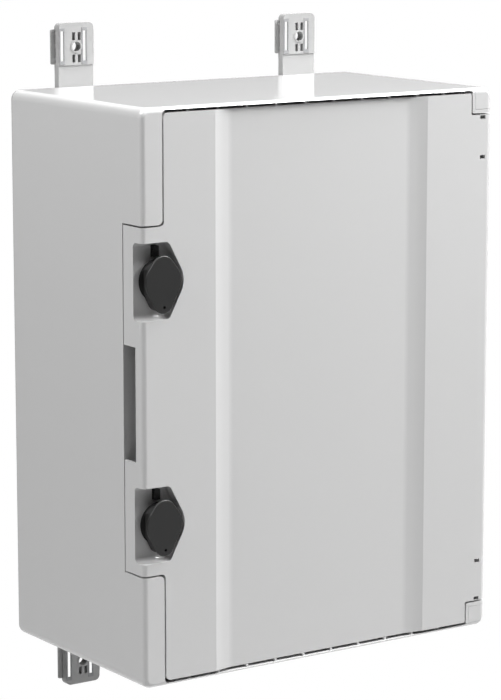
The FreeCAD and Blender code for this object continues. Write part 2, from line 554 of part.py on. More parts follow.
def slot_liners():
    """Darker frames pressed into the tall slots of the four brackets."""
    liners = []
    y0 = block_front() - LINER_PROUD
    zb = HEIGHT + BLOCK_OUT
    half = LINER_HALF - 0.02
    for _, x in BRACKET_XS:
        for xc in [x + dx for dx in LINER_XS]:
            corners = [(xc - half, zb + LINER_Z[0] + 0.02, 0.8), (xc + half, zb + LINER_Z[0] + 0.02, 0.8),
                       (xc + half, zb + LINER_Z[1] - 0.02, 0.8), (xc - half, zb + LINER_Z[1] - 0.02, 0.8)]
            liner = rounded_prism(corners, y0, y0 + LINER_THICKNESS - 0.02)
            liner = liner.makeFillet(0.4, edges_where(liner, lambda p: p.y < y0 + 1e-6))
            slot = [(xc - SLOT_HALF, zb + SLOT_Z[0], 0.6), (xc + SLOT_HALF, zb + SLOT_Z[0], 0.6),
                    (xc + SLOT_HALF, zb + SLOT_Z[1], 0.6), (xc - SLOT_HALF, zb + SLOT_Z[1], 0.6)]
            liner = liner.cut(rounded_prism(slot, y0 - 1, y0 + LINER_THICKNESS + 1))
            liners += [for_edge(liner, True), for_edge(liner, False)]
    return Part.makeCompound(liners)


def bracket_screws():
    """Screws driven from the wall side through each bracket into the body's thick seats."""
    screws = []
    for _, x in BRACKET_XS:
        for top in (True, False):
            for _, z in bracket_screw_sites(x, top):
                seat = DEPTH + STANDOFF - 4.5
                screw = rod_y(x, seat, seat + 3.0, z, 4.6)
                screw = screw.fuse(rod_y(x, seat - 7.5, seat, z, 2.2))
                screws.append(screw.cut(block(x - 3.4, x + 3.4, seat + 1.6, seat + 4, z - 0.5, z + 0.5)))
    return Part.makeCompound(screws)


# --- mounting plate and rails ----------------------------------------------------------------------------
def mounting_plate():
    x0, x1, z0, z1 = PLATE
    plate = rounded_prism([(x0, z0, 5), (x1, z0, 5), (x1, z1, 5), (x0, z1, 5)], PLATE_Y, PLATE_Y + PLATE_THICKNESS)
    for x in PLATE_HOLES_X:
        for z in PLATE_HOLES_Z:
            plate = plate.cut(rod_y(x, PLATE_Y - 1, PLATE_Y + 5, z, 3.2))
    for _, z in RAIL_ZS:
        for x in rail_screw_xs():
            plate = plate.cut(rod_y(x, PLATE_Y - 1, PLATE_Y + 5, z, 2.0))
    for x in earth_post_xs():
        plate = plate.cut(rod_y(x, PLATE_Y - 1, PLATE_Y + 5, EARTH_Z, 2.0))
    return plate


def mounting_plate_screws():
    return Part.makeCompound([pan_screw_y(x, PLATE_Y, z, 2.5, 12.0, 6.0, 3.4)
                              for x in PLATE_HOLES_X for z in PLATE_HOLES_Z])


def rail_centre_x():
    return (PLATE[0] + PLATE[1]) / 2.0


def rail_screw_xs():
    centre = rail_centre_x()
    return (centre - 152.0, centre + 152.0)


def din_rail(z):
    """Top-hat rail, 35 mm high."""
    x0 = rail_centre_x() - RAIL_LENGTH / 2.0
    half, hat = RAIL_HEIGHT / 2.0, RAIL_HAT / 2.0
    front, back, t = PLATE_Y - RAIL_DEPTH, PLATE_Y, RAIL_SHEET
    right = [(front, half), (front, hat - t), (back - t, hat - t), (back - t, 0)]
    left = [(y, -dz) for y, dz in reversed(right[:-1])]
    outer = [(front + t, -half), (front + t, -hat), (back, -hat), (back, hat), (front + t, hat), (front + t, half)]
    points = [V(x0, y, z + dz) for y, dz in right[:-1] + [(back - t, -hat + t)] + left[1:] + outer]
    rail = Part.Face(Part.makePolygon(points + [points[0]])).extrude(V(RAIL_LENGTH, 0, 0))
    slots = 13
    for i in range(slots):
        x = rail_centre_x() + (i - (slots - 1) / 2.0) * 25.0
        if min(abs(x - s) for s in rail_screw_xs()) > 6.0:
            rail = rail.cut(rounded_prism([(x - 7.5, z - 2.6, 2.5), (x + 7.5, z - 2.6, 2.5),
                                           (x + 7.5, z + 2.6, 2.5), (x - 7.5, z + 2.6, 2.5)], back - 3, back + 1))
    for x in rail_screw_xs():
        rail = rail.cut(rod_y(x, back - 3, back + 1, z, 2.1))
    return rail


def din_rail_screws():
    return Part.makeCompound([pan_screw_y(x, PLATE_Y - RAIL_SHEET, z, 2.0, 6.0, 4.2, 2.6)
                              for _, z in RAIL_ZS for x in rail_screw_xs()])


def rail_cut(shape, x0, x1, z):
    """Cut the rail's profile, with small clearance, out of a device so that its claws hold the rail."""
    front = PLATE_Y - RAIL_DEPTH
    half, hat = RAIL_HEIGHT / 2.0 + 0.2, RAIL_HAT / 2.0 + 1.6
    shape = shape.cut(block(x0, x1, front - 0.2, front + RAIL_SHEET + 0.2, z - half, z + half))
    return shape.cut(block(x0, x1, front, PLATE_Y, z - hat, z + hat))


def device_profile(x0, x1, z, half_height, shoulder, front_y, nose_half, nose_y):
    """Stepped modular device: full height at the shoulder, a lower nose in front of it."""
    back = PLATE_Y - 1.0
    side = [(back, -half_height * 0.62), (back, half_height * 0.62), (back - 9, half_height), (shoulder, half_height),
            (shoulder, nose_half), (nose_y, nose_half), (front_y, nose_half - 2), (front_y, -nose_half + 2),
            (nose_y, -nose_half), (shoulder, -nose_half), (shoulder, -half_height), (back - 9, -half_height)]
    points = [V(x0, y, z + dz) for y, dz in side]
    return Part.Face(Part.makePolygon(points + [points[0]])).extrude(V(x1 - x0, 0, 0))


# --- fuse holders ----------------------------------------------------------------------------------------
def fuse_x(index):
    return FUSE_X0 + index * FUSE_PITCH


def pole_xs(index):
    centre = fuse_x(index) + FUSE_WIDTH / 2.0
    return (centre - POLE_PITCH / 2.0, centre + POLE_PITCH / 2.0)


def tooth_slots():
    """(depth, pole) of the busbar slots: the first pole is positive, the second negative."""
    return ((205.0, 0), (215.0, 1))


def fuse_base(index):
    z = RAIL_ZS[0][1]
    x0 = fuse_x(index)
    x1 = x0 + FUSE_WIDTH
    half = FUSE_HEIGHT / 2.0
    base = device_profile(x0, x1, z, half, 192.0, FUSE_FRONT_Y, 30.0, FUSE_FRONT_Y + 1.5)
    base = rail_cut(base, x0 - 1, x1 + 1, z)
    for x in pole_xs(index):
        base = base.cut(block(x - 7.9, x + 7.9, FUSE_FRONT_Y - 1, 205.0, z - 23.6, z + 28.4))
        for side in (-1, 1):
            base = base.cut(rod_y(x, 190, 203, z + side * (half - 5.5), 3.0))
            base = base.cut(rod_z(x, 222.0, z + side * half - 6, z + side * half + 6, 3.0))
    base = base.cut(block(pole_xs(index)[0], pole_xs(index)[1], FUSE_FRONT_Y - 1, 184.0, z - 23.6, z - 12.0))
    for depth, pole in tooth_slots():
        x = pole_xs(index)[pole]
        base = base.cut(block(x - 3.4, x + 3.4, depth - 0.4, depth + BAR_THICKNESS + 0.4, z + half - 9, z + half + 1))
    return base


def fuse_drawer(index):
    z = RAIL_ZS[0][1]
    x0, x1 = fuse_x(index) + 1.6, fuse_x(index) + FUSE_WIDTH - 1.6
    pivot_z = z + FUSE_PIVOT_DZ
    hub = rod_x(x0, x1, FUSE_PIVOT_Y, pivot_z, 4.0)
    plate = block(x0, x1, 173.0, 178.4, pivot_z, z + 27.0)
    ledge = block(x0, x1, 166.0, 173.5, z + 21.5, z + 27.0)
    ledge = ledge.makeFillet(2.0, edges_where(ledge, lambda p: p.y < 166.0 + 1e-6))
    drawer = fuse_all([plate, hub, ledge])
    for x in pole_xs(index):
        carrier = block(x - 7.0, x + 7.0, 178.0, 197.0, z - 18.0, z + 24.0)
        carrier = carrier.cut(rod_z(x, 189.5, z - 16.9, z + 22.9, LINK_R + 0.15))
        carrier = carrier.cut(block(x - LINK_R - 0.15, x + LINK_R + 0.15, 189.5, 198.0, z - 16.9, z + 22.9))
        drawer = drawer.fuse(carrier)
        drawer = drawer.cut(block(x - 2.5, x + 2.5, 172.0, 185.0, z + 13.0, z + 16.0))
    return drawer.removeSplitter()


def fuse_links(index):
    z = RAIL_ZS[0][1]
    links = []
    for x in pole_xs(index):
        bottom = z + 3.0 - LINK_LENGTH / 2.0
        link = rod_z(x, 189.5, bottom, bottom + LINK_LENGTH, LINK_R - 0.25)
        for z0 in (bottom, bottom + LINK_LENGTH - 10.0):
            cap = rod_z(x, 189.5, z0, z0 + 10.0, LINK_R)
            cap = cap.makeFillet(0.6, edges_where(cap, lambda p: abs(p.z - z0) < 1e-6 or abs(p.z - z0 - 10) < 1e-6))
            link = link.fuse(cap)
        links.append(link.removeSplitter())
    return Part.makeCompound(links)


# --- busbars ---------------------------------------------------------------------------------------------
def busbar(pole, bar_z, riser_x, run_z, tooth_x):
    """Comb over the fuse holders, a riser beside them and a tooth into the switch."""
    depth = tooth_slots()[pole][0]
    y0, y1 = depth, depth + BAR_THICKNESS
    fuse_top = RAIL_ZS[0][1] + FUSE_HEIGHT / 2.0
    first = pole_xs(0)[pole] - 3.0
    pieces = [block(first, riser_x + BAR_WIDTH, y0, y1, bar_z, bar_z + BAR_WIDTH)]
    for i in range(FUSE_COUNT):
        x = pole_xs(i)[pole]
        pieces.append(block(x - 3.0, x + 3.0, y0, y1, fuse_top - 8.0, bar_z + 1))
    pieces.append(block(riser_x, riser_x + BAR_WIDTH, y0, y1, run_z, bar_z + 1))
    pieces.append(block(tooth_x - 5.0, riser_x + BAR_WIDTH, y0, y1, run_z, run_z + BAR_WIDTH))
    pieces.append(block(tooth_x - 5.0, tooth_x + 5.0, y0, y1, RAIL_ZS[1][1] + 37.0, run_z + 1))
    return fuse_all(pieces)


def busbar_positive():
    return busbar(0, 480.0, 362.0, 300.0, SWITCH_X + 20.0)


def busbar_negative():
    return busbar(1, 496.0, 344.0, 318.0, SWITCH_X - 20.0)


# --- surge arrester and switch ---------------------------------------------------------------------------
def surge_arrester_base():
    z = RAIL_ZS[1][1]
    x0, x1 = SURGE_X0, SURGE_X0 + SURGE_POLES * SURGE_PITCH
    base = device_profile(x0, x1, z, 45.0, 192.0, 186.0, 32.0, 188.0)
    base = rail_cut(base, x0 - 1, x1 + 1, z)
    for i in range(SURGE_POLES):
        xc = x0 + (i + 0.5) * SURGE_PITCH
        base = base.cut(block(xc - 8.7, xc + 8.7, 180.0, 212.0, z - 24.4, z + 24.4))
        for side in (-1, 1):
            base = base.cut(rod_y(xc, 190, 204, z + side * 39.5, 3.2))
            base = base.cut(rod_z(xc, 220.0, z + side * 45 - 7, z + side * 45 + 7, 3.6))
    return base


def surge_cartridge(index):
    z = RAIL_ZS[1][1]
    xc = SURGE_X0 + (index + 0.5) * SURGE_PITCH
    body = block(xc - 8.4, xc + 8.4, 170.0, 205.0, z - 24.0, z + 24.0)
    body = body.makeFillet(2.0, edges_where(body, lambda p: p.y < 170.0 + 1e-6))
    for dz in (-14.0, 14.0):
        body = body.fuse(block(xc - 0.8, xc + 0.8, 204.5, 211.0, z + dz - 4.0, z + dz + 4.0))
    body = body.cut(block(xc - 3.0, xc + 3.0, 169.0, 171.2, z + 8.0, z + 12.0))
    for side in (-1, 1):
        for k in range(4):
            zz = z - 4.5 + 3.0 * k
            body = body.cut(block(xc + side * 8.4 - 0.5, xc + side * 8.4 + 0.5, 172.0, 184.0, zz - 0.7, zz + 0.7))
    return body


def disconnector_body():
    z = RAIL_ZS[1][1]
    x0, x1 = SWITCH_X - SWITCH_WIDTH / 2.0, SWITCH_X + SWITCH_WIDTH / 2.0
    body = device_profile(x0, x1, z, 45.0, 192.0, SWITCH_FRONT_Y, 32.0, SWITCH_FRONT_Y + 2.0)
    body = rail_cut(body, x0 - 1, x1 + 1, z)
    for k in range(4):
        x = x0 + (k + 0.5) * SWITCH_WIDTH / 4.0
        for side in (-1, 1):
            body = body.cut(rod_y(x, 190, 204, z + side * 39.5, 3.2))
            body = body.cut(rod_z(x, 224.0, z + side * 45 - 9, z + side * 45 + 9, 3.6))
    for dx, (depth, _) in ((20.0, tooth_slots()[0]), (-20.0, tooth_slots()[1])):
        x = SWITCH_X + dx
        body = body.cut(block(x - 5.4, x + 5.4, depth - 0.4, depth + BAR_THICKNESS + 0.4, z + 36.5, z + 46))
    body = body.fuse(rod_y(SWITCH_X, SWITCH_FRONT_Y - 2.0, SWITCH_FRONT_Y + 1.0, z, 22.0))
    return body.cut(rod_y(SWITCH_X, SWITCH_FRONT_Y - 3.0, SWITCH_FRONT_Y + 14.0, z, 4.05))


def disconnector_knob():
    z = RAIL_ZS[1][1]
    y_face = SWITCH_FRONT_Y - 2.4
    skirt = rod_y(SWITCH_X, y_face - 6.0, y_face, z, 19.0)
    skirt = skirt.makeFillet(1.5, edges_where(skirt, lambda p: p.y < y_face - 6.0 + 1e-6))
    grip = rounded_prism([(SWITCH_X - 5, z - 17, 4.5), (SWITCH_X + 5, z - 17, 4.5), (SWITCH_X + 5, z + 17, 4.5),
                          (SWITCH_X - 5, z + 17, 4.5)], y_face - 18.0, y_face - 5.0)
    grip = grip.makeFillet(1.2, edges_where(grip, lambda p: p.y < y_face - 18.0 + 1e-6))
    return fuse_all([skirt, grip, rod_y(SWITCH_X, y_face - 1.0, SWITCH_FRONT_Y + 12.0, z, 4.0)])


# --- earth bar -------------------------------------------------------------------------------------------
def earth_post_xs():
    return (EARTH_X - EARTH_LENGTH / 2.0 + 7.0, EARTH_X + EARTH_LENGTH / 2.0 - 7.0)


def earth_bar():
    """Brass bar on two feet."""
    x0, x1 = EARTH_X - EARTH_LENGTH / 2.0, EARTH_X + EARTH_LENGTH / 2.0
    bar = block(x0, x1, PLATE_Y - 22.0, PLATE_Y - 13.0, EARTH_Z - 5.0, EARTH_Z + 5.0)
    for x in earth_post_xs():
        bar = bar.fuse(block(x - 6.0, x + 6.0, PLATE_Y - 14.0, PLATE_Y, EARTH_Z - 5.0, EARTH_Z + 5.0))
        bar = bar.cut(rod_y(x, PLATE_Y - 30.0, PLATE_Y + 1, EARTH_Z, 2.1))
    for x in earth_screw_xs():
        bar = bar.cut(rod_y(x, PLATE_Y - 23.0, PLATE_Y - 12.0, EARTH_Z, 2.0))
        bar = bar.cut(rod_z(x, PLATE_Y - 17.0, EARTH_Z - 6.0, EARTH_Z + 6.0, 2.6))
    return bar.removeSplitter()


def earth_screw_xs():
    pitch = (EARTH_LENGTH - 40.0) / (EARTH_SCREWS - 1)
    return [EARTH_X - EARTH_LENGTH / 2.0 + 20.0 + i * pitch for i in range(EARTH_SCREWS)]


def earth_bar_screws():
    screws = [pan_screw_y(x, PLATE_Y - 22.0, EARTH_Z, 2.0, 4.0, 3.6, 2.4) for x in earth_screw_xs()]
    screws += [pan_screw_y(x, PLATE_Y - 22.0, EARTH_Z, 2.0, 24.8, 4.2, 2.6) for x in earth_post_xs()]
    return Part.makeCompound(screws)


# --- cable glands ----------------------------------------------------------------------------------------
def gland_sizes(hole_r):
    """(thread radius, spanner size, bore radius, height below the wall, blanked) for one hole."""
    if hole_r > 12:
        return hole_r - 0.2, 42.0, 10.0, 28.0, False
    if hole_r > 9:
        return hole_r - 0.2, 26.0, 5.0, 22.0, True
    return hole_r - 0.2, 22.0, 4.0, 20.0, False


def gland_bodies():
    bodies = []
    for x, y, hole_r in gland_sites():
        thread, spanner, bore, drop, _ = gland_sizes(hole_r)
        body = hexagon_z(x, y, -6.0, -0.4, spanner).fuse(rod_z(x, y, -drop * 0.55, 12.0, thread))
        bodies.append(body.cut(rod_z(x, y, -drop, 13.0, bore + 1.5)))
    return Part.makeCompound(bodies)


def gland_domes():
    domes = []
    for x, y, hole_r in gland_sites():
        thread, spanner, bore, drop, _ = gland_sizes(hole_r)
        dome = hexagon_z(x, y, -drop * 0.62, -6.4, spanner)
        crown = Part.makeCone(bore + 2.0, spanner / 2.0 - 0.4, drop * 0.42, V(x, y, -drop), V(0, 0, 1))
        dome = dome.fuse(crown).cut(rod_z(x, y, -drop * 0.56, 0, thread + 0.1))
        domes.append(dome.cut(rod_z(x, y, -drop - 1, 0, bore + 0.6)))
    return Part.makeCompound(domes)


def gland_seals():
    """Rubber inserts: a sleeve in the open glands and a blanking plug in the string glands."""
    seals = []
    for x, y, hole_r in gland_sites():
        _, _, bore, drop, blanked = gland_sizes(hole_r)
        seal = rod_z(x, y, -drop * 0.96, -1.0, bore + 0.5)
        if not blanked:
            seal = seal.cut(rod_z(x, y, -drop - 1, 1, bore - 2.0))
        seals.append(seal)
    return Part.makeCompound(seals)


def gland_locknuts(blanked_glands):
    """Hexagonal nuts inside the bottom wall, of the blanked string glands or of the open ones."""
    nuts = []
    for x, y, hole_r in gland_sites():
        thread, spanner, _, _, blanked = gland_sizes(hole_r)
        if blanked != blanked_glands:
            continue
        nut = hexagon_z(x, y, WALL + 0.1, WALL + 5.5, spanner)
        nuts.append(nut.cut(rod_z(x, y, 0, 20, thread + 0.05)))
    return Part.makeCompound(nuts)


# --- assembly --------------------------------------------------------------------------------------------
def all_nodes():
    form = outer_form()
    nodes = {"enclosure_body": enclosure_body(form), "door_panel": door_panel(form), "door_seal": door_seal()}
    for name, upper in (("upper", True), ("lower", False)):
        nodes["hinge_cap_" + name] = hinge_cap(form, upper)
        nodes["hinge_pin_" + name] = hinge_pin(upper)
    for name, z in KNOB_ZS:
        nodes["lock_housing_" + name] = lock_housing(z)
        nodes["lock_knob_" + name] = lock_knob(z)
        nodes["lock_cam_" + name] = lock_cam(z)
        nodes["cam_screw_" + name] = cam_screw(z)
    nodes["lock_nuts"] = lock_nuts()
    for side, x in BRACKET_XS:
        nodes["wall_bracket_top_" + side] = wall_bracket(x, True)
        nodes["wall_bracket_bottom_" + side] = wall_bracket(x, False)
    nodes["slot_liners"] = slot_liners()
    nodes["bracket_screws"] = bracket_screws()
    nodes["mounting_plate"] = mounting_plate()
    nodes["mounting_plate_screws"] = mounting_plate_screws()
    for name, z in RAIL_ZS:
        nodes["din_rail_" + name] = din_rail(z)
    nodes["din_rail_screws"] = din_rail_screws()
    for i in range(FUSE_COUNT):
        nodes["fuse_base_%d" % (i + 1)] = fuse_base(i)
        nodes["fuse_drawer_%d" % (i + 1)] = fuse_drawer(i)
        nodes["fuse_links_%d" % (i + 1)] = fuse_links(i)
    nodes["busbar_positive"] = busbar_positive()
    nodes["busbar_negative"] = busbar_negative()
    nodes["surge_arrester_base"] = surge_arrester_base()
    for i in range(SURGE_POLES):
        nodes["surge_cartridge_%d" % (i + 1)] = surge_cartridge(i)
    nodes["disconnector_body"] = disconnector_body()
    nodes["disconnector_knob"] = disconnector_knob()
    nodes["earth_bar"] = earth_bar()
    nodes["earth_bar_screws"] = earth_bar_screws()
    nodes["gland_bodies"] = gland_bodies()
    nodes["gland_domes"] = gland_domes()
    nodes["gland_locknuts"] = gland_locknuts(True)
    nodes["open_gland_locknuts"] = gland_locknuts(False)
    nodes["gland_seals"] = gland_seals()
    return nodes


def main():
    os.makedirs("parts", exist_ok=True)
    origin = V((BRACKET_XS[0][1] + BRACKET_XS[1][1]) / 2.0, DEPTH + STANDOFF, HEIGHT / 2.0)
    for name, shape in all_nodes().items():
        placed = shape.copy()
        placed.translate(origin.negative())
        placed.exportStep("parts/%s.step" % name)
        print(name, placed.ShapeType, "valid" if placed.isValid() else "INVALID", len(placed.Solids),
              round(placed.Volume / 1000.0, 1), "cm3")


main()
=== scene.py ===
import logging
import math
from dataclasses import dataclass, field
from enum import Enum
from typing import Any, Iterable, Sequence

import bmesh
import bpy
from mathutils import Matrix, Vector


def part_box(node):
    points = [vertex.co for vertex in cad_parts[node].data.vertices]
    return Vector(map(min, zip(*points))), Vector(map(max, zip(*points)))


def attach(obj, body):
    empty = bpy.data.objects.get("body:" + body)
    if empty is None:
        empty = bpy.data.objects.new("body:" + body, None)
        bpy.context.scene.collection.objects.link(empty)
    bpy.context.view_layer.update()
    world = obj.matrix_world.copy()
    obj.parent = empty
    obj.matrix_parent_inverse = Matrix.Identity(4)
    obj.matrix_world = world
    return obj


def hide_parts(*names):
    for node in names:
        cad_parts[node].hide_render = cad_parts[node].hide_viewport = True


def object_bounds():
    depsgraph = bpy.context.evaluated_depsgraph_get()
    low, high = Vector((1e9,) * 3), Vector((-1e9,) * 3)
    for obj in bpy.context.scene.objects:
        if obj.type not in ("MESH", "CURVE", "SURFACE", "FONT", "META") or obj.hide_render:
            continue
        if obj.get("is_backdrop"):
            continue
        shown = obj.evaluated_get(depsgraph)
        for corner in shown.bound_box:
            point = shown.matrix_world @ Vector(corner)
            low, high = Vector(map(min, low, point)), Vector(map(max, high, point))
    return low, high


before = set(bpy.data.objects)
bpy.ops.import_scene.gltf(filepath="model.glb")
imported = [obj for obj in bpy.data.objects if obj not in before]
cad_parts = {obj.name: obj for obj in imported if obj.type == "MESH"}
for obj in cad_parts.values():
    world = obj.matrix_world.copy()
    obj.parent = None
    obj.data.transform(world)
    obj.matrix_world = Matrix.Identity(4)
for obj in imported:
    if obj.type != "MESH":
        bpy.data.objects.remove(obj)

LOG = logging.getLogger("combiner_box")
MM = 0.001
UP = Vector((0.0, 0.0, 1.0))
QUARTER_TURN = math.radians(90.0)
TINY = 1e-7                    # vertices nearer than this are one
HEAD_SIDES = 24                # sides of a screw head
SLOT_DEPTH, SLOT_TAPER = 0.45, 0.04        # of a driver slot, as shares of the head's height and the slot's width
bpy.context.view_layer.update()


class Slot(Enum):
    """Material slot names from the record; no piece in this script takes its finish from them."""

    SEAL = "seal_rubber"
    BLACK = "lock_black"
    ZINC = "zinc_screw"
    DRAWER = "drawer_grey"
    CARTRIDGE = "surge_cartridge"
    RED = "switch_red"


# --- shader helpers --------------------------------------------------------------------------------------
class Signal:
    """A node's output that takes part in arithmetic."""

    def __init__(self, paint: "Paint", socket: bpy.types.NodeSocket) -> None:
        """Keep the tree and the socket."""
        self.paint = paint
        self.socket = socket

    def _math(self, operation: str, *values: "Signal | float") -> "Signal":
        """Add one Math node.

        Args:
            operation: the Math node's operation.
            values: its inputs in order.

        Returns:
            The node's result.
        """
        made = self.paint.node("ShaderNodeMath", {"operation": operation}, dict(enumerate(values)))
        return Signal(self.paint, made.outputs[0])

    def __add__(self, other: "Signal | float") -> "Signal":
        """Sum."""
        return self._math("ADD", self, other)

    def __radd__(self, other: float) -> "Signal":
        """Sum with a number on the left."""
        return self._math("ADD", other, self)

    def __sub__(self, other: "Signal | float") -> "Signal":
        """Difference."""
        return self._math("SUBTRACT", self, other)

    def __rsub__(self, other: float) -> "Signal":
        """Difference from a number on the left."""
        return self._math("SUBTRACT", other, self)

    def __mul__(self, other: "Signal | float") -> "Signal":
        """Product."""
        return self._math("MULTIPLY", self, other)

    def __rmul__(self, other: float) -> "Signal":
        """Product with a number on the left."""
        return self._math("MULTIPLY", other, self)

    def __abs__(self) -> "Signal":
        """Size without its sign."""
        return self._math("ABSOLUTE", self)

    def rise(self, low: float, high: float) -> "Signal":
        """Smooth step.

        Args:
            low: where the step starts, with 0.
            high: where it ends, with 1.

        Returns:
            The step, flipped if low is above high.
        """
        first, last = min(low, high), max(low, high)
        step = self.paint.node("ShaderNodeMapRange", {"interpolation_type": "SMOOTHSTEP"},
                               {"Value": self, "From Min": first, "From Max": last})
        result = Signal(self.paint, step.outputs[0])
        return result if low <= high else 1.0 - result


class Paint:
    """Node tree of one material, ending in a Principled shader."""

    def __init__(self, name: str) -> None:
        """Start an empty tree.

        Args:
            name: the material's name.
        """
        self.material = bpy.data.materials.new(name)
        self.material.use_nodes = True
        self.tree = self.material.node_tree
        self.tree.nodes.clear()
        self.shader = self.node("ShaderNodeBsdfPrincipled")
        self.node("ShaderNodeOutputMaterial", None, {"Surface": self.shader.outputs[0]})

    def node(self, kind: str, settings: dict[str, Any] | None = None,
             inputs: dict[str | int, Any] | None = None) -> bpy.types.Node:
        """Add a node.

        Args:
            kind: the node's type.
            settings: its properties, set before its inputs.
            inputs: numbers, colours or links by the socket's name or number.

        Returns:
            The node.
        """
        made = self.tree.nodes.new(kind)
        for name, value in (settings or {}).items():
            setattr(made, name, value)
        for name, value in (inputs or {}).items():
            self.feed(made.inputs[name], value)
        return made

    def feed(self, socket: bpy.types.NodeSocket, value: Any) -> None:
        """Link an input or set it.

        Args:
            socket: the input.
            value: a signal or socket to link, or a number or colour to set.
        """
        if isinstance(value, Signal):
            self.tree.links.new(value.socket, socket)
        elif isinstance(value, bpy.types.NodeSocket):
            self.tree.links.new(value, socket)
        elif socket.type == "RGBA" and len(value) == 3:
            socket.default_value = (*value, 1.0)
        else:
            socket.default_value = value

    def place(self, stretch: Sequence[float] | None = None) -> Signal:
        """Object coordinates.

        Args:
            stretch: scale of each axis, left as it is if not given.

        Returns:
            The coordinates as a vector signal.
        """
        where = self.node("ShaderNodeTexCoord").outputs["Object"]
        if stretch is None:
            return Signal(self, where)
        return Signal(self, self.node("ShaderNodeMapping", None, {"Vector": where, "Scale": stretch}).outputs[0])

    def axes(self, vector: Signal) -> tuple[Signal, Signal, Signal]:
        """The three parts of a vector signal."""
        parts = self.node("ShaderNodeSeparateXYZ", None, {0: vector})
        return tuple(Signal(self, out) for out in parts.outputs)

    def noise(self, scale: float, detail: float = 2.0, rough: float = 0.5, where: Signal | None = None) -> Signal:
        """Noise.

        Args:
            scale: features per metre.
            detail: octaves.
            rough: share of the finer octaves.
            where: coordinates, Object ones if left out.

        Returns:
            The noise, about 0.5 on average.
        """
        made = self.node("ShaderNodeTexNoise", None,
                         {"Vector": where or self.place(), "Scale": scale, "Detail": detail, "Roughness": rough})
        return Signal(self, made.outputs[0])

    def cells(self, scale: float, where: Signal | None = None) -> tuple[Signal, Signal]:
        """Voronoi cells.

        Args:
            scale: cells per metre.
            where: coordinates, Object ones if left out.

        Returns:
            Distance from each cell's middle, and the cell's own colour.
        """
        made = self.node("ShaderNodeTexVoronoi", None, {"Vector": where or self.place(), "Scale": scale})
        return Signal(self, made.outputs["Distance"]), Signal(self, made.outputs["Color"])

    def mix(self, share: Signal, low: Any, high: Any) -> Signal:
        """Blend two colours.

        Args:
            share: of the second colour, 0 to 1.
            low: the first colour.
            high: the second.

        Returns:
            The blended colour.
        """
        made = self.node("ShaderNodeMix", {"data_type": "RGBA"}, {0: share, 6: low, 7: high})
        return Signal(self, made.outputs[2])

    def bump(self, height: Signal, depth: float, under: Signal | None = None) -> Signal:
        """Relief.

        Args:
            height: 0 to 1.
            depth: metres from 0 to 1.
            under: a bump below this one.

        Returns:
            The normal.
        """
        inputs = {"Height": height, "Distance": depth, "Strength": 1.0}
        if under is not None:
            inputs["Normal"] = under
        return Signal(self, self.node("ShaderNodeBump", None, inputs).outputs[0])

    def finish(self, **sockets: Any) -> bpy.types.Material:
        """Feed the shader.

        Args:
            sockets: values by the shader input's name, with underscores for spaces.

        Returns:
            The material.
        """
        for name, value in sockets.items():
            self.feed(self.shader.inputs[name.replace("_", " ")], value)
        return self.material


def tone(colour: Sequence[float], factor: float) -> tuple[float, float, float]:
    """A colour made lighter or darker by a factor."""
    return tuple(min(1.0, c * factor) for c in colour)


# --- finishes --------------------------------------------------------------------------------------------
@dataclass(frozen=True)
class MouldedPlastic:
    """Injection-moulded plastic: faint flow clouds, flecks, fine grain and a slight ripple."""

    name: str
    colour: tuple[float, float, float]
    roughness: float = 0.34
    grain_per_metre: float = 1500.0
    grain_depth: float = 0.000012
    cloud: float = 0.02
    coat: float = 0.0
    coat_roughness: float = 0.1

    def material(self) -> bpy.types.Material:
        """Build the material."""
        paint = Paint(self.name)
        flow = paint.noise(5.0, 3.0)
        fleck = paint.noise(900.0, 1.0)
        shade = (flow - 0.5) * (2.0 * self.cloud) + (fleck - 0.5) * self.cloud + 0.5
        colour = paint.mix(shade, tone(self.colour, 0.9), tone(self.colour, 1.1))
        handled = paint.noise(16.0, 2.0).rise(0.35, 0.75)
        rough = self.roughness + (flow - 0.5) * 0.02 + handled * 0.008
        grain = paint.noise(self.grain_per_metre, 2.0, 0.6)
        ripple = paint.noise(30.0, 0.0)
        relief = paint.bump(ripple, 0.00004, paint.bump(grain, self.grain_depth))
        return paint.finish(Base_Color=colour, Roughness=rough, Normal=relief, Coat_Weight=self.coat,
                            Coat_Roughness=self.coat_roughness)


@dataclass(frozen=True)
class FoamRubber:
    """Closed-cell foam or rubber: matt, with small pores and a dusty bloom."""

    name: str
    colour: tuple[float, float, float]
    pores_per_metre: float = 1400.0
    pore_depth: float = 0.00012

    def material(self) -> bpy.types.Material:
        """Build the material."""
        paint = Paint(self.name)
        distance, _ = paint.cells(self.pores_per_metre)
        pore = distance.rise(0.15, 0.45)
        bloom = paint.noise(60.0, 3.0).rise(0.45, 0.75)
        skin = paint.mix(bloom, self.colour, tone(self.colour, 1.7))
        colour = paint.mix(pore, tone(self.colour, 0.5), skin)
        return paint.finish(Base_Color=colour, Roughness=0.78 + bloom * 0.15,
                            Normal=paint.bump(pore, self.pore_depth))


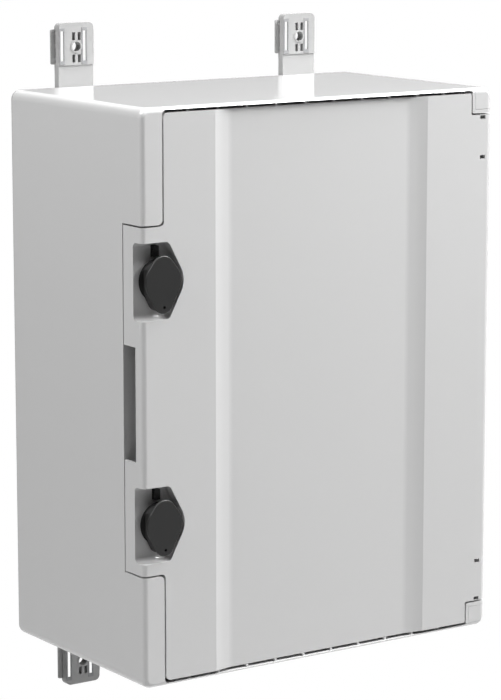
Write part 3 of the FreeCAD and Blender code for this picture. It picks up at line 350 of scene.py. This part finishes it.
@dataclass(frozen=True)
class ZincedSteel:
    """Hot-dip galvanised sheet with spangle, or bright zinc on small turned parts."""

    name: str
    colour: tuple[float, float, float]
    spangle_per_metre: float = 110.0
    contrast: float = 0.16
    roughness: float = 0.38

    def material(self) -> bpy.types.Material:
        """Build the material."""
        paint = Paint(self.name)
        warp = paint.node("ShaderNodeVectorMath", {"operation": "MULTIPLY_ADD"},
                          {0: Signal(paint, paint.node("ShaderNodeTexNoise", None,
                                                       {"Vector": paint.place(), "Scale": 300.0}).outputs[1]),
                           1: (0.004, 0.004, 0.004), 2: paint.place()})
        distance, facet = paint.cells(self.spangle_per_metre, Signal(paint, warp.outputs[0]))
        flake, other, _ = paint.axes(facet)
        bloom = paint.noise(14.0, 3.0).rise(0.5, 0.8)
        colour = paint.mix(flake, tone(self.colour, 1.0 - self.contrast), tone(self.colour, 1.0 + self.contrast))
        colour = paint.mix(bloom * 0.35, colour, (0.72, 0.73, 0.74))
        rough = self.roughness + (other - 0.5) * 0.16 + bloom * 0.12
        relief = paint.bump(distance, 0.00003, paint.bump(paint.noise(2500.0, 1.0), 0.000008))
        return paint.finish(Base_Color=colour, Metallic=1.0 - bloom * 0.25, Roughness=rough, Normal=relief)


@dataclass(frozen=True)
class BrushedMetal:
    """Rolled or drawn metal: fine lines along one axis and patches of tarnish."""

    name: str
    colour: tuple[float, float, float]
    tarnish: tuple[float, float, float]
    lines: tuple[float, float, float] = (30.0, 2600.0, 2600.0)
    roughness: float = 0.3

    def material(self) -> bpy.types.Material:
        """Build the material."""
        paint = Paint(self.name)
        line = paint.noise(1.0, 3.0, 0.6, paint.place(self.lines))
        patch = paint.noise(45.0, 5.0, 0.62).rise(0.46, 0.74)
        colour = paint.mix(line, tone(self.colour, 0.88), tone(self.colour, 1.1))
        colour = paint.mix(patch * 0.6, colour, self.tarnish)
        rough = self.roughness + (line - 0.5) * 0.12 + patch * 0.16
        return paint.finish(Base_Color=colour, Metallic=1.0 - patch * 0.15, Roughness=rough,
                            Normal=paint.bump(line, 0.00001))


@dataclass(frozen=True)
class FuseLinkFinish:
    """Ceramic tube with nickel-plated end caps, told apart by height."""

    name: str
    middle: float
    half_tube: float

    def material(self) -> bpy.types.Material:
        """Build the material."""
        paint = Paint(self.name)
        _, _, height = paint.axes(paint.place())
        cap = abs(height - self.middle).rise(self.half_tube - 0.0001, self.half_tube + 0.0001)
        speck = paint.noise(1300.0, 3.0)
        glaze = paint.mix(speck, (0.78, 0.77, 0.72), (0.88, 0.87, 0.83))
        nickel = paint.mix(paint.noise(160.0, 3.0), (0.55, 0.53, 0.49), (0.72, 0.70, 0.66))
        return paint.finish(Base_Color=paint.mix(cap, glaze, nickel), Metallic=cap, Roughness=0.22 + speck * 0.16,
                            Normal=paint.bump(speck, 0.000006))


@dataclass(frozen=True)
class Lens:
    """Small tinted window with a fine prism pattern under a clear face."""

    name: str
    colour: tuple[float, float, float]

    def material(self) -> bpy.types.Material:
        """Build the material."""
        paint = Paint(self.name)
        prism = paint.noise(1200.0, 1.0)
        colour = paint.mix(prism, tone(self.colour, 0.7), tone(self.colour, 1.2))
        return paint.finish(Base_Color=colour, Roughness=0.12 + prism * 0.1, Normal=paint.bump(prism, 0.00003),
                            Coat_Weight=0.6, Coat_Roughness=0.05)


# --- mesh helpers ----------------------------------------------------------------------------------------
def shifted(form: bmesh.types.BMesh, offset: Sequence[float]) -> bmesh.types.BMesh:
    """Move a whole form by an offset in metres."""
    bmesh.ops.translate(form, vec=Vector(offset), verts=form.verts)
    return form


def rounded_edges(form: bmesh.types.BMesh, edges: Iterable[bmesh.types.BMEdge], radius: float,
                  segments: int = 3) -> bmesh.types.BMesh:
    """Round some edges of a form.

    Args:
        form: the form.
        edges: its edges to round.
        radius: of the rounding, in metres.
        segments: of the bevel.

    Returns:
        The form.
    """
    bmesh.ops.bevel(form, geom=list(edges), offset=radius, offset_type="OFFSET", affect="EDGES",
                    segments=segments, profile=0.5, material=-1)
    return form


def rounded_block(low: Sequence[float], high: Sequence[float], radius: float, segments: int = 3) -> bmesh.types.BMesh:
    """Block between two corners with every edge rounded.

    Args:
        low: lowest corner.
        high: highest corner.
        radius: of the edges.
        segments: of the bevel.

    Returns:
        The form.
    """
    form = bmesh.new()
    bmesh.ops.create_cube(form, size=1.0)
    bmesh.ops.scale(form, vec=Vector(high) - Vector(low), verts=form.verts)
    shifted(form, (Vector(high) + Vector(low)) / 2.0)
    return rounded_edges(form, form.edges, radius, segments)


def turned(profile: Sequence[tuple[float, float]], steps: int = 32) -> bmesh.types.BMesh:
    """Solid of revolution about Y.

    Args:
        profile: (radius, y) from the front middle round to the back middle.
        steps: of the full turn.

    Returns:
        The form, around the Y axis.
    """
    form = bmesh.new()
    line = [form.verts.new((radius, y, 0.0)) for radius, y in profile]
    edges = [form.edges.new(pair) for pair in zip(line, line[1:])]
    bmesh.ops.spin(form, geom=line + edges, cent=(0, 0, 0), axis=(0, 1, 0), dvec=(0, 0, 0),
                   angle=2.0 * math.pi, steps=steps, use_merge=True)
    bmesh.ops.remove_doubles(form, verts=form.verts, dist=TINY)
    bmesh.ops.recalc_face_normals(form, faces=form.faces)
    return form


def slotted_head(radius: float, height: float, slot: float) -> bmesh.types.BMesh:
    """Cheese head of a screw that faces -Y, with a driver slot.

    Args:
        radius: of the head.
        height: of the head above its seat at y = 0, where it is left open.
        slot: width of the driver slot.

    Returns:
        The form.
    """
    form = bmesh.new()
    bmesh.ops.create_circle(form, cap_ends=True, segments=HEAD_SIDES, radius=radius)
    bmesh.ops.rotate(form, cent=(0, 0, 0), matrix=Matrix.Rotation(QUARTER_TURN, 3, "X"), verts=form.verts)
    for side in (-1.0, 1.0):
        bmesh.ops.bisect_plane(form, geom=form.verts[:] + form.edges[:] + form.faces[:], dist=TINY,
                               plane_co=(0, 0, side * slot / 2.0), plane_no=(0, 0, 1))
    rim = [e for e in form.edges if e.is_boundary]
    wall = bmesh.ops.extrude_edge_only(form, edges=rim)
    seat = [g for g in wall["geom"] if isinstance(g, bmesh.types.BMVert)]
    bmesh.ops.translate(form, vec=(0, height, 0), verts=seat)
    middle = [f for f in form.faces if abs(f.calc_center_median().z) < slot / 2.0 and abs(f.normal.y) > 0.5]
    bmesh.ops.inset_region(form, faces=middle, thickness=slot * SLOT_TAPER, depth=-height * SLOT_DEPTH)
    bmesh.ops.recalc_face_normals(form, faces=form.faces)
    return shifted(form, (0, -height, 0))


def repeated(form: bmesh.types.BMesh, places: Sequence[Sequence[float]]) -> bmesh.types.BMesh:
    """Copies of a form, as one form.

    Args:
        form: the first copy, around the origin.
        places: where each copy goes.

    Returns:
        The form with all its copies.
    """
    seed = form.verts[:] + form.edges[:] + form.faces[:]
    for place in places[1:]:
        copy = bmesh.ops.duplicate(form, geom=seed)
        bmesh.ops.translate(form, vec=Vector(place) - Vector(places[0]),
                            verts=[g for g in copy["geom"] if isinstance(g, bmesh.types.BMVert)])
    return shifted(form, places[0])


def as_piece(name: str, form: bmesh.types.BMesh, body: str, material: bpy.types.Material,
             sharp: float = 35.0) -> bpy.types.Object:
    """Make a finished form a piece of the object.

    Args:
        name: the piece's name.
        form: its shape in the frame, in metres; freed here.
        body: the CAD body that it rides on.
        material: its own material.
        sharp: edges that turn by more degrees than this stay sharp.

    Returns:
        The object.
    """
    mesh = bpy.data.meshes.new(name)
    form.to_mesh(mesh)
    form.free()
    mesh.shade_smooth()
    mesh.set_sharp_from_angle(angle=math.radians(sharp))
    mesh.materials.append(material)
    piece = bpy.data.objects.new(name, mesh)
    bpy.context.scene.collection.objects.link(piece)
    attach(piece, body)
    LOG.info("%s: %d faces on %s", name, len(mesh.polygons), body)
    return piece


def dress(material: bpy.types.Material, *nodes: str) -> None:
    """Give CAD nodes a material.

    Args:
        material: the material.
        nodes: names of the nodes.
    """
    for name in nodes:
        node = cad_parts[name]
        node.data.materials.clear()
        node.data.materials.append(material)
        LOG.info("%s: dressed with %s", name, material.name)


def middle_of(node: str) -> Vector:
    """Middle of a CAD node's box."""
    low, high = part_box(node)
    return (low + high) / 2.0


def numbered(stem: str, count: int) -> list[str]:
    """Names of numbered nodes."""
    return [f"{stem}_{i + 1}" for i in range(count)]


# --- sub-assemblies --------------------------------------------------------------------------------------
LIGHT_GREY = (0.588, 0.588, 0.588)


@dataclass
class Housing:
    """The moulded cabinet, its hinge corners, wall brackets and the screws that hold them."""

    plastic: MouldedPlastic = MouldedPlastic("cabinet_moulding", LIGHT_GREY, 0.6, coat=1.0, coat_roughness=0.05)
    bracket_plastic: MouldedPlastic = MouldedPlastic("bracket_moulding", (0.35, 0.35, 0.35), 0.5, 1900.0, 0.00002)
    liner_plastic: MouldedPlastic = MouldedPlastic("slot_liner_moulding", (0.26, 0.262, 0.267), 0.5, 1900.0, 0.00002)
    pin_finish: ZincedSteel = ZincedSteel("pin_zinc", (0.62, 0.62, 0.61), 600.0, 0.08, 0.3)

    def build(self) -> None:
        """Dress the housing's CAD nodes."""
        dress(self.plastic.material(), "enclosure_body", "hinge_cap_upper", "hinge_cap_lower")
        dress(self.bracket_plastic.material(),
              *[f"wall_bracket_{end}_{side}" for end in ("top", "bottom") for side in ("left", "right")])
        dress(self.liner_plastic.material(), "slot_liners")
        dress(self.pin_finish.material(), "hinge_pin_upper", "hinge_pin_lower", "bracket_screws")


@dataclass
class Door:
    """The hinged door and its foam seal."""

    plastic: MouldedPlastic = MouldedPlastic("door_moulding", LIGHT_GREY, 0.28, coat=0.3, coat_roughness=0.15)
    foam: FoamRubber = FoamRubber("seal_foam", (0.03, 0.03, 0.032))
    seal_width: float = 7.8 * MM
    seal_round: float = 1.5 * MM
    corner_turn: float = 0.5       # edges that turn by more radians are the section's corners

    def build(self) -> None:
        """Dress the door and lay the seal in its groove."""
        dress(self.plastic.material(), "door_panel")
        self.lay_seal()

    def lay_seal(self) -> None:
        """Foam ring with a rounded face, in the groove's own space."""
        low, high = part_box("door_seal")
        form = bmesh.new()
        bmesh.ops.create_grid(form, x_segments=1, y_segments=1, size=0.5)
        bmesh.ops.rotate(form, cent=(0, 0, 0), matrix=Matrix.Rotation(QUARTER_TURN, 3, "X"), verts=form.verts)
        bmesh.ops.scale(form, vec=(high.x - low.x, 1.0, high.z - low.z), verts=form.verts)
        middle = form.faces[:]
        bmesh.ops.inset_region(form, faces=middle, thickness=self.seal_width, use_boundary=True,
                               use_even_offset=True)
        bmesh.ops.delete(form, geom=middle, context="FACES_ONLY")
        ring = bmesh.ops.extrude_face_region(form, geom=form.faces[:], use_keep_orig=True)
        moved = [g for g in ring["geom"] if isinstance(g, bmesh.types.BMVert)]
        bmesh.ops.translate(form, vec=(0, high.y - low.y, 0), verts=moved)
        bmesh.ops.recalc_face_normals(form, faces=form.faces)
        back = [e for e in form.edges if all(v.co.y > (high.y - low.y) / 2.0 for v in e.verts)
                and len(e.link_faces) == 2 and e.calc_face_angle() > self.corner_turn]
        rounded_edges(form, back, self.seal_round, 4)
        centre = (low + high) / 2.0
        shifted(form, (centre.x, low.y, centre.z))
        seal = as_piece("door_seal_foam", form, "door", self.foam.material())
        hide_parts("door_seal")


@dataclass
class Locks:
    """The two quarter-turn locks."""

    plastic: MouldedPlastic = MouldedPlastic("lock_moulding", (0.017, 0.017, 0.017), 0.5, 1700.0, 0.00003,
                                             cloud=0.06)
    zinc: ZincedSteel = ZincedSteel("lock_zinc", (0.60, 0.60, 0.58), 500.0, 0.1, 0.32)

    def build(self) -> None:
        """Dress the locks' CAD nodes."""
        ends = ("upper", "lower")
        dress(self.plastic.material(), "lock_nuts", *[f"lock_{part}_{end}" for part in ("knob", "housing")
                                                      for end in ends])
        dress(self.zinc.material(), *[f"{part}_{end}" for part in ("lock_cam", "cam_screw") for end in ends])


@dataclass
class BackPlate:
    """Mounting plate, rails with their end stops, and the earth bar."""

    sheet: ZincedSteel = ZincedSteel("plate_zinc", (0.58, 0.59, 0.60), 95.0, 0.13, 0.4)
    rail: BrushedMetal = BrushedMetal("rail_zinc", (0.60, 0.60, 0.58), (0.52, 0.50, 0.42), (20.0, 1900.0, 1900.0), 0.34)
    screw: ZincedSteel = ZincedSteel("screw_zinc", (0.64, 0.64, 0.62), 700.0, 0.08, 0.28)
    brass: BrushedMetal = BrushedMetal("earth_bar_brass", (0.70, 0.52, 0.24), (0.36, 0.25, 0.12), roughness=0.3)
    stop_plastic: MouldedPlastic = MouldedPlastic("end_stop_moulding", (0.05, 0.05, 0.052), 0.5, 1500.0, 0.00004)
    stop_width: float = 8.0 * MM
    stop_height: float = 43.0 * MM
    stop_depth: float = 14.0 * MM
    stop_gap: float = 1.2 * MM
    stop_round: float = 0.8 * MM
    stop_clearance: float = 0.2 * MM
    stop_screw: tuple[float, float, float] = (2.6 * MM, 1.6 * MM, 0.8 * MM)

    def build(self) -> None:
        """Dress the CAD nodes and add the end stops."""
        dress(self.sheet.material(), "mounting_plate")
        dress(self.rail.material(), "din_rail_upper", "din_rail_lower")
        dress(self.screw.material(), "mounting_plate_screws", "din_rail_screws", "earth_bar_screws")
        dress(self.brass.material(), "earth_bar")
        self.add_end_stops()

    def add_end_stops(self) -> None:
        """Clamps that keep the devices from sliding along the rails."""
        material, screw = self.stop_plastic.material(), bpy.data.materials["screw_zinc"]
        devices = (("fuses", "din_rail_upper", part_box("fuse_base_1")[0].x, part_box("fuse_base_6")[1].x),
                   ("surge", "din_rail_lower", *(corner.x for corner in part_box("surge_arrester_base"))),
                   ("switch", "din_rail_lower", *(corner.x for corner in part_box("disconnector_body"))))
        for device, rail, left, right in devices:
            low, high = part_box(rail)
            z = (low.z + high.z) / 2.0
            for side, x in (("left", left - self.stop_gap - self.stop_width), ("right", right + self.stop_gap)):
                corner = Vector((x, low.y - self.stop_depth + (high.y - low.y), z - self.stop_height / 2.0))
                stop = rounded_block(corner, (x + self.stop_width, low.y - self.stop_clearance,
                                              z + self.stop_height / 2.0), self.stop_round)
                as_piece(f"end_stop_{device}_{side}", stop, "cabinet", material)
                head = shifted(slotted_head(*self.stop_screw), (x + self.stop_width / 2.0, corner.y, z))
                as_piece(f"end_stop_screw_{device}_{side}", head, "cabinet", screw)


@dataclass
class FuseRow:
    """Six two-pole fuse holders with their links."""

    count: int = 6
    base_plastic: MouldedPlastic = MouldedPlastic("fuse_base_moulding", (0.50, 0.51, 0.51), 0.45, 1500.0, 0.00003)
    drawer_plastic: MouldedPlastic = MouldedPlastic("fuse_drawer_moulding", (0.20, 0.215, 0.225), 0.42, 1500.0,
                                                    0.00003, cloud=0.05)
    lens: Lens = Lens("fuse_lamp_lens", (0.55, 0.04, 0.03))
    pole_pitch: float = 18.0 * MM
    terminal_inset: float = 5.5 * MM
    link_height: float = 38.0 * MM
    cap_height: float = 10.0 * MM
    terminal_step: float = 17.0 * MM
    terminal_screw: tuple[float, float, float] = (2.7 * MM, 1.8 * MM, 0.9 * MM)
    lamp_below_top: float = 2.8 * MM

    def build(self) -> None:
        """Dress the fuse holders and add terminal screws and lamps."""
        dress(self.base_plastic.material(), *numbered("fuse_base", self.count))
        dress(self.drawer_plastic.material(), *numbered("fuse_drawer", self.count))
        middle = middle_of("fuse_links_1").z
        links = FuseLinkFinish("fuse_link_ceramic", middle, self.link_height / 2.0 - self.cap_height)
        dress(links.material(), *numbered("fuse_links", self.count))
        lens = self.lens.material()
        screw = bpy.data.materials["screw_zinc"]
        places = []
        for i in range(self.count):
            low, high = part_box(f"fuse_base_{i + 1}")
            x = (low.x + high.x) / 2.0
            poles = (x - self.pole_pitch / 2.0, x + self.pole_pitch / 2.0)
            places += [(px, low.y + self.terminal_step, z) for px in poles
                       for z in (low.z + self.terminal_inset, high.z - self.terminal_inset)]
            front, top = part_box(f"fuse_drawer_{i + 1}")[0].y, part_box(f"fuse_drawer_{i + 1}")[1].z
            dome = turned([(0.0, -0.5 * MM), (0.9 * MM, -0.4 * MM), (1.5 * MM, 0.1 * MM), (1.5 * MM, 0.8 * MM),
                           (0.0, 0.8 * MM)], 20)
            lamps = repeated(dome, [(px, front + 0.1 * MM, top - self.lamp_below_top) for px in poles])
            as_piece(f"fuse_lamps_{i + 1}", lamps, f"drawer_{i + 1}", lens)
        heads = repeated(slotted_head(*self.terminal_screw), places)
        as_piece("fuse_terminal_screws", heads, "cabinet", screw)


@dataclass
class Busbars:
    """Positive and negative copper bars."""

    copper: BrushedMetal = BrushedMetal("bar_copper", (0.78, 0.40, 0.26), (0.33, 0.14, 0.09), (60.0, 60.0, 1900.0), 0.27)

    def build(self) -> None:
        """Dress the bars."""
        dress(self.copper.material(), "busbar_positive", "busbar_negative")


@dataclass
class SurgeArrester:
    """Three-pole surge arrester with plug-in cartridges and status windows."""

    poles: int = 3
    base_plastic: MouldedPlastic = MouldedPlastic("surge_base_moulding", (0.50, 0.51, 0.51), 0.45, 1500.0, 0.00003)
    cartridge_plastic: MouldedPlastic = MouldedPlastic("surge_cartridge_moulding", (0.045, 0.05, 0.056), 0.4, 1500.0,
                                                       0.00003, cloud=0.05)
    lens: Lens = Lens("surge_status_lens", (0.03, 0.36, 0.09))
    window: tuple[float, float] = (5.6 * MM, 3.6 * MM)
    window_below_top: float = 14.0 * MM
    terminal_inset: float = 5.5 * MM
    terminal_step: float = 11.0 * MM
    terminal_screw: tuple[float, float, float] = (2.9 * MM, 1.8 * MM, 0.9 * MM)

    def build(self) -> None:
        """Dress the arrester and add windows and terminal screws."""
        dress(self.base_plastic.material(), "surge_arrester_base")
        dress(self.cartridge_plastic.material(), *numbered("surge_cartridge", self.poles))
        lens = self.lens.material()
        width, height = self.window
        low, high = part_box("surge_arrester_base")
        places = []
        for i in range(self.poles):
            near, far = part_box(f"surge_cartridge_{i + 1}")
            x, z = (near.x + far.x) / 2.0, far.z - self.window_below_top
            pane = rounded_block((x - width / 2.0, near.y + 0.4 * MM, z - height / 2.0),
                                 (x + width / 2.0, near.y + 1.1 * MM, z + height / 2.0), 0.25 * MM)
            as_piece(f"surge_window_{i + 1}", pane, f"cartridge_{i + 1}", lens)
            places += [(x, low.y + self.terminal_step, end)
                       for end in (low.z + self.terminal_inset, high.z - self.terminal_inset)]
        heads = repeated(slotted_head(*self.terminal_screw), places)
        as_piece("surge_terminal_screws", heads, "cabinet", bpy.data.materials["screw_zinc"])


@dataclass
class Disconnector:
    """Rotary load-break switch with a red knob on a yellow dial."""

    body_plastic: MouldedPlastic = MouldedPlastic("switch_body_moulding", (0.48, 0.49, 0.49), 0.45, 1500.0, 0.00003)
    knob_plastic: MouldedPlastic = MouldedPlastic("switch_knob_moulding", (0.50, 0.022, 0.018), 0.36, 1500.0, 0.00003,
                                                  cloud=0.04)
    dial_plastic: MouldedPlastic = MouldedPlastic("switch_dial_moulding", (0.72, 0.50, 0.03), 0.4, 1500.0, 0.00002)
    dial: tuple[float, float] = (22.3 * MM, 28.0 * MM)
    dial_thickness: float = 0.9 * MM
    dial_behind_plate: float = 2.0 * MM
    terminals: int = 4
    terminal_inset: float = 5.5 * MM
    terminal_step: float = 31.0 * MM
    terminal_screw: tuple[float, float, float] = (2.9 * MM, 1.8 * MM, 0.9 * MM)

    def build(self) -> None:
        """Dress the switch and add its dial, marks and terminal screws."""
        dress(self.body_plastic.material(), "disconnector_body")
        dress(self.knob_plastic.material(), "disconnector_knob")
        self.add_dial()
        low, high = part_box("disconnector_body")
        pitch = (high.x - low.x) / self.terminals
        places = [(low.x + (k + 0.5) * pitch, low.y + self.terminal_step, z) for k in range(self.terminals)
                  for z in (low.z + self.terminal_inset, high.z - self.terminal_inset)]
        heads = repeated(slotted_head(*self.terminal_screw), places)
        as_piece("switch_terminal_screws", heads, "cabinet", bpy.data.materials["screw_zinc"])

    def add_dial(self) -> None:
        """Ring around the knob, with raised marks at its two positions."""
        inner, outer = self.dial
        knob = middle_of("disconnector_knob")
        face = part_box("disconnector_body")[0].y + self.dial_behind_plate
        thick = self.dial_thickness
        ring = turned([(inner, 0.0), (outer - 0.4 * MM, 0.0), (outer, 0.4 * MM), (outer, thick), (inner, thick),
                       (inner, 0.0)], 64)
        as_piece("switch_dial", shifted(ring, (knob.x, face - thick, knob.z)), "cabinet",
                 self.dial_plastic.material())
        middle = (inner + outer) / 2.0
        mark = rounded_block((-0.5 * MM, -0.3 * MM, middle - 1.9 * MM), (0.5 * MM, 0.2 * MM, middle + 1.9 * MM),
                             0.15 * MM, 2)
        other = mark.copy()
        bmesh.ops.rotate(other, cent=(0, 0, 0), matrix=Matrix.Rotation(QUARTER_TURN, 3, "Y"), verts=other.verts)
        ink = MouldedPlastic("dial_mark_ink", (0.03, 0.03, 0.03), 0.5).material()
        for name, form in (("off", mark), ("on", other)):
            as_piece(f"switch_mark_{name}", shifted(form, (knob.x, face - thick, knob.z)), "cabinet", ink)


@dataclass
class Glands:
    """Cable glands through the bottom wall."""

    polyamide: MouldedPlastic = MouldedPlastic("gland_moulding", (0.36, 0.37, 0.38), 0.46, 1600.0, 0.00003, cloud=0.04)
    rubber: FoamRubber = FoamRubber("gland_rubber", (0.035, 0.035, 0.036), 3000.0, 0.00002)

    def build(self) -> None:
        """Dress the glands."""
        dress(self.polyamide.material(), "gland_bodies", "gland_domes", "gland_locknuts", "open_gland_locknuts")
        dress(self.rubber.material(), "gland_seals")


# --- studio ----------------------------------------------------------------------------------------------
@dataclass(frozen=True)
class Softbox:
    """Rectangular light aimed at the object's middle."""

    name: str
    azimuth: float
    elevation: float
    distance: float
    width: float
    height: float
    power: float

    def switch_on(self, centre: Vector) -> bpy.types.Object:
        """Place the light.

        Args:
            centre: the point that it faces.

        Returns:
            The light object.
        """
        lamp = bpy.data.lights.new(self.name, "AREA")
        lamp.shape, lamp.size, lamp.size_y, lamp.energy = "RECTANGLE", self.width, self.height, self.power
        box = bpy.data.objects.new(self.name, lamp)
        bpy.context.scene.collection.objects.link(box)
        back = direction(self.azimuth, self.elevation)
        box.location = centre + back * self.distance
        box.rotation_mode = "QUATERNION"
        box.rotation_quaternion = back.to_track_quat("Z", "Y")
        box.visible_camera = False
        return box


def direction(azimuth: float, elevation: float) -> Vector:
    """Unit vector away from the object; azimuth 0 is in front of the door, 90 at its right."""
    a, e = math.radians(azimuth), math.radians(elevation)
    return Vector((math.sin(a) * math.cos(e), -math.cos(a) * math.cos(e), math.sin(e)))


@dataclass
class Studio:
    """White room with soft lights and the camera."""

    softboxes: tuple[Softbox, ...] = (
        Softbox("key", 60.0, 50.0, 3.2, 1.5, 1.5, 262.0),
        Softbox("fill", -60.0, 50.0, 3.2, 1.5, 1.5, 10.0),
        Softbox("left", -90.0, 50.0, 3.2, 0.8, 0.8, 87.0),
        Softbox("overhead", 90.0, 72.0, 3.2, 0.6, 0.6, 46.0),
        Softbox("rear_right", 120.0, 50.0, 3.2, 1.5, 1.5, 9.0),
    )
    floor_drop: float = 1.1
    floor_size: float = 60.0
    ambient_low: float = 0.03
    ambient_high: float = 0.05
    azimuth: float = -34.34
    elevation: float = 10.06
    distance: float = 3.0954
    aim: tuple[float, float] = (1.2 * MM, -19.3 * MM)
    lens: float = 145.5
    shift_y: float = -0.0071
    focus: Vector = field(default_factory=lambda: Vector((-2.45 * MM, -133.5 * MM, 0.0)))

    def build(self) -> None:
        """Set the floor, the room's light, the softboxes and the camera."""
        low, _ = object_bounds()
        self.lay_floor(low.z - self.floor_drop)
        self.fill_room()
        for box in self.softboxes:
            box.switch_on(self.focus)
            LOG.info("softbox %s: %.1f W", box.name, box.power)
        self.set_camera()
        bpy.context.scene.view_settings.view_transform = "Standard"

    def lay_floor(self, height: float) -> None:
        """White floor that can't be seen from below.

        Args:
            height: of the floor, in metres.
        """
        form = bmesh.new()
        bmesh.ops.create_grid(form, x_segments=1, y_segments=1, size=self.floor_size / 2.0)
        shifted(form, (0.0, 0.0, height))
        mesh = bpy.data.meshes.new("floor")
        form.to_mesh(mesh)
        form.free()
        material = bpy.data.materials.new("floor_white")
        material.use_nodes = True
        nodes, links = material.node_tree.nodes, material.node_tree.links
        nodes.clear()
        path, side = nodes.new("ShaderNodeLightPath"), nodes.new("ShaderNodeNewGeometry")
        matt, white, clear = (nodes.new(f"ShaderNode{kind}")
                              for kind in ("BsdfDiffuse", "Emission", "BsdfTransparent"))
        matt.inputs["Color"].default_value = (0.7, 0.7, 0.7, 1.0)
        seen, shown = nodes.new("ShaderNodeMixShader"), nodes.new("ShaderNodeMixShader")
        end = nodes.new("ShaderNodeOutputMaterial")
        for start, stop in ((path.outputs["Is Camera Ray"], seen.inputs[0]), (matt.outputs[0], seen.inputs[1]),
                            (white.outputs[0], seen.inputs[2]), (side.outputs["Backfacing"], shown.inputs[0]),
                            (seen.outputs[0], shown.inputs[1]), (clear.outputs[0], shown.inputs[2]),
                            (shown.outputs[0], end.inputs["Surface"])):
            links.new(start, stop)
        mesh.materials.append(material)
        floor = bpy.data.objects.new("floor", mesh)
        bpy.context.scene.collection.objects.link(floor)
        floor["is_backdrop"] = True

    def fill_room(self) -> None:
        """White to the eye; for light, dim at the horizon and brighter overhead."""
        world = bpy.data.worlds.new("room")
        world.use_nodes = True
        bpy.context.scene.world = world
        nodes, links = world.node_tree.nodes, world.node_tree.links
        nodes.clear()
        where, parts = nodes.new("ShaderNodeTexCoord"), nodes.new("ShaderNodeSeparateXYZ")
        ramp, path = nodes.new("ShaderNodeMapRange"), nodes.new("ShaderNodeLightPath")
        choose, glow = nodes.new("ShaderNodeMix"), nodes.new("ShaderNodeBackground")
        ramp.inputs["From Min"].default_value, ramp.inputs["From Max"].default_value = 0.1, 0.8
        ramp.inputs["To Min"].default_value = self.ambient_low
        ramp.inputs["To Max"].default_value = self.ambient_high
        choose.inputs[3].default_value = 1.0
        end = nodes.new("ShaderNodeOutputWorld")
        for start, stop in ((where.outputs["Generated"], parts.inputs[0]), (parts.outputs[2], ramp.inputs["Value"]),
                            (path.outputs["Is Camera Ray"], choose.inputs[0]), (ramp.outputs[0], choose.inputs[2]),
                            (choose.outputs[0], glow.inputs["Strength"]), (glow.outputs[0], end.inputs["Surface"])):
            links.new(start, stop)

    def set_camera(self) -> None:
        """Camera at the object's viewing angle."""
        back = direction(self.azimuth, self.elevation)
        right = UP.cross(back).normalized()
        above = back.cross(right)
        data = bpy.data.cameras.new("camera")
        data.sensor_width, data.lens, data.shift_y = 36.0, self.lens, self.shift_y
        data.clip_start, data.clip_end = 0.05, 100.0
        camera = bpy.data.objects.new("camera", data)
        bpy.context.scene.collection.objects.link(camera)
        camera.location = self.focus + back * self.distance - right * self.aim[0] - above * self.aim[1]
        camera.rotation_mode = "QUATERNION"
        camera.rotation_quaternion = back.to_track_quat("Z", "Y")
        bpy.context.scene.camera = camera


def main() -> None:
    """Build every sub-assembly around the frame."""
    logging.basicConfig(level=logging.INFO, format="%(message)s")
    for assembly in (Studio(), Housing(), Door(), Locks(), BackPlate(), FuseRow(), Busbars(), SurgeArrester(),
                     Disconnector(), Glands()):
        LOG.info("%s", type(assembly).__name__)
        assembly.build()


if __name__ == "__main__":
    main()
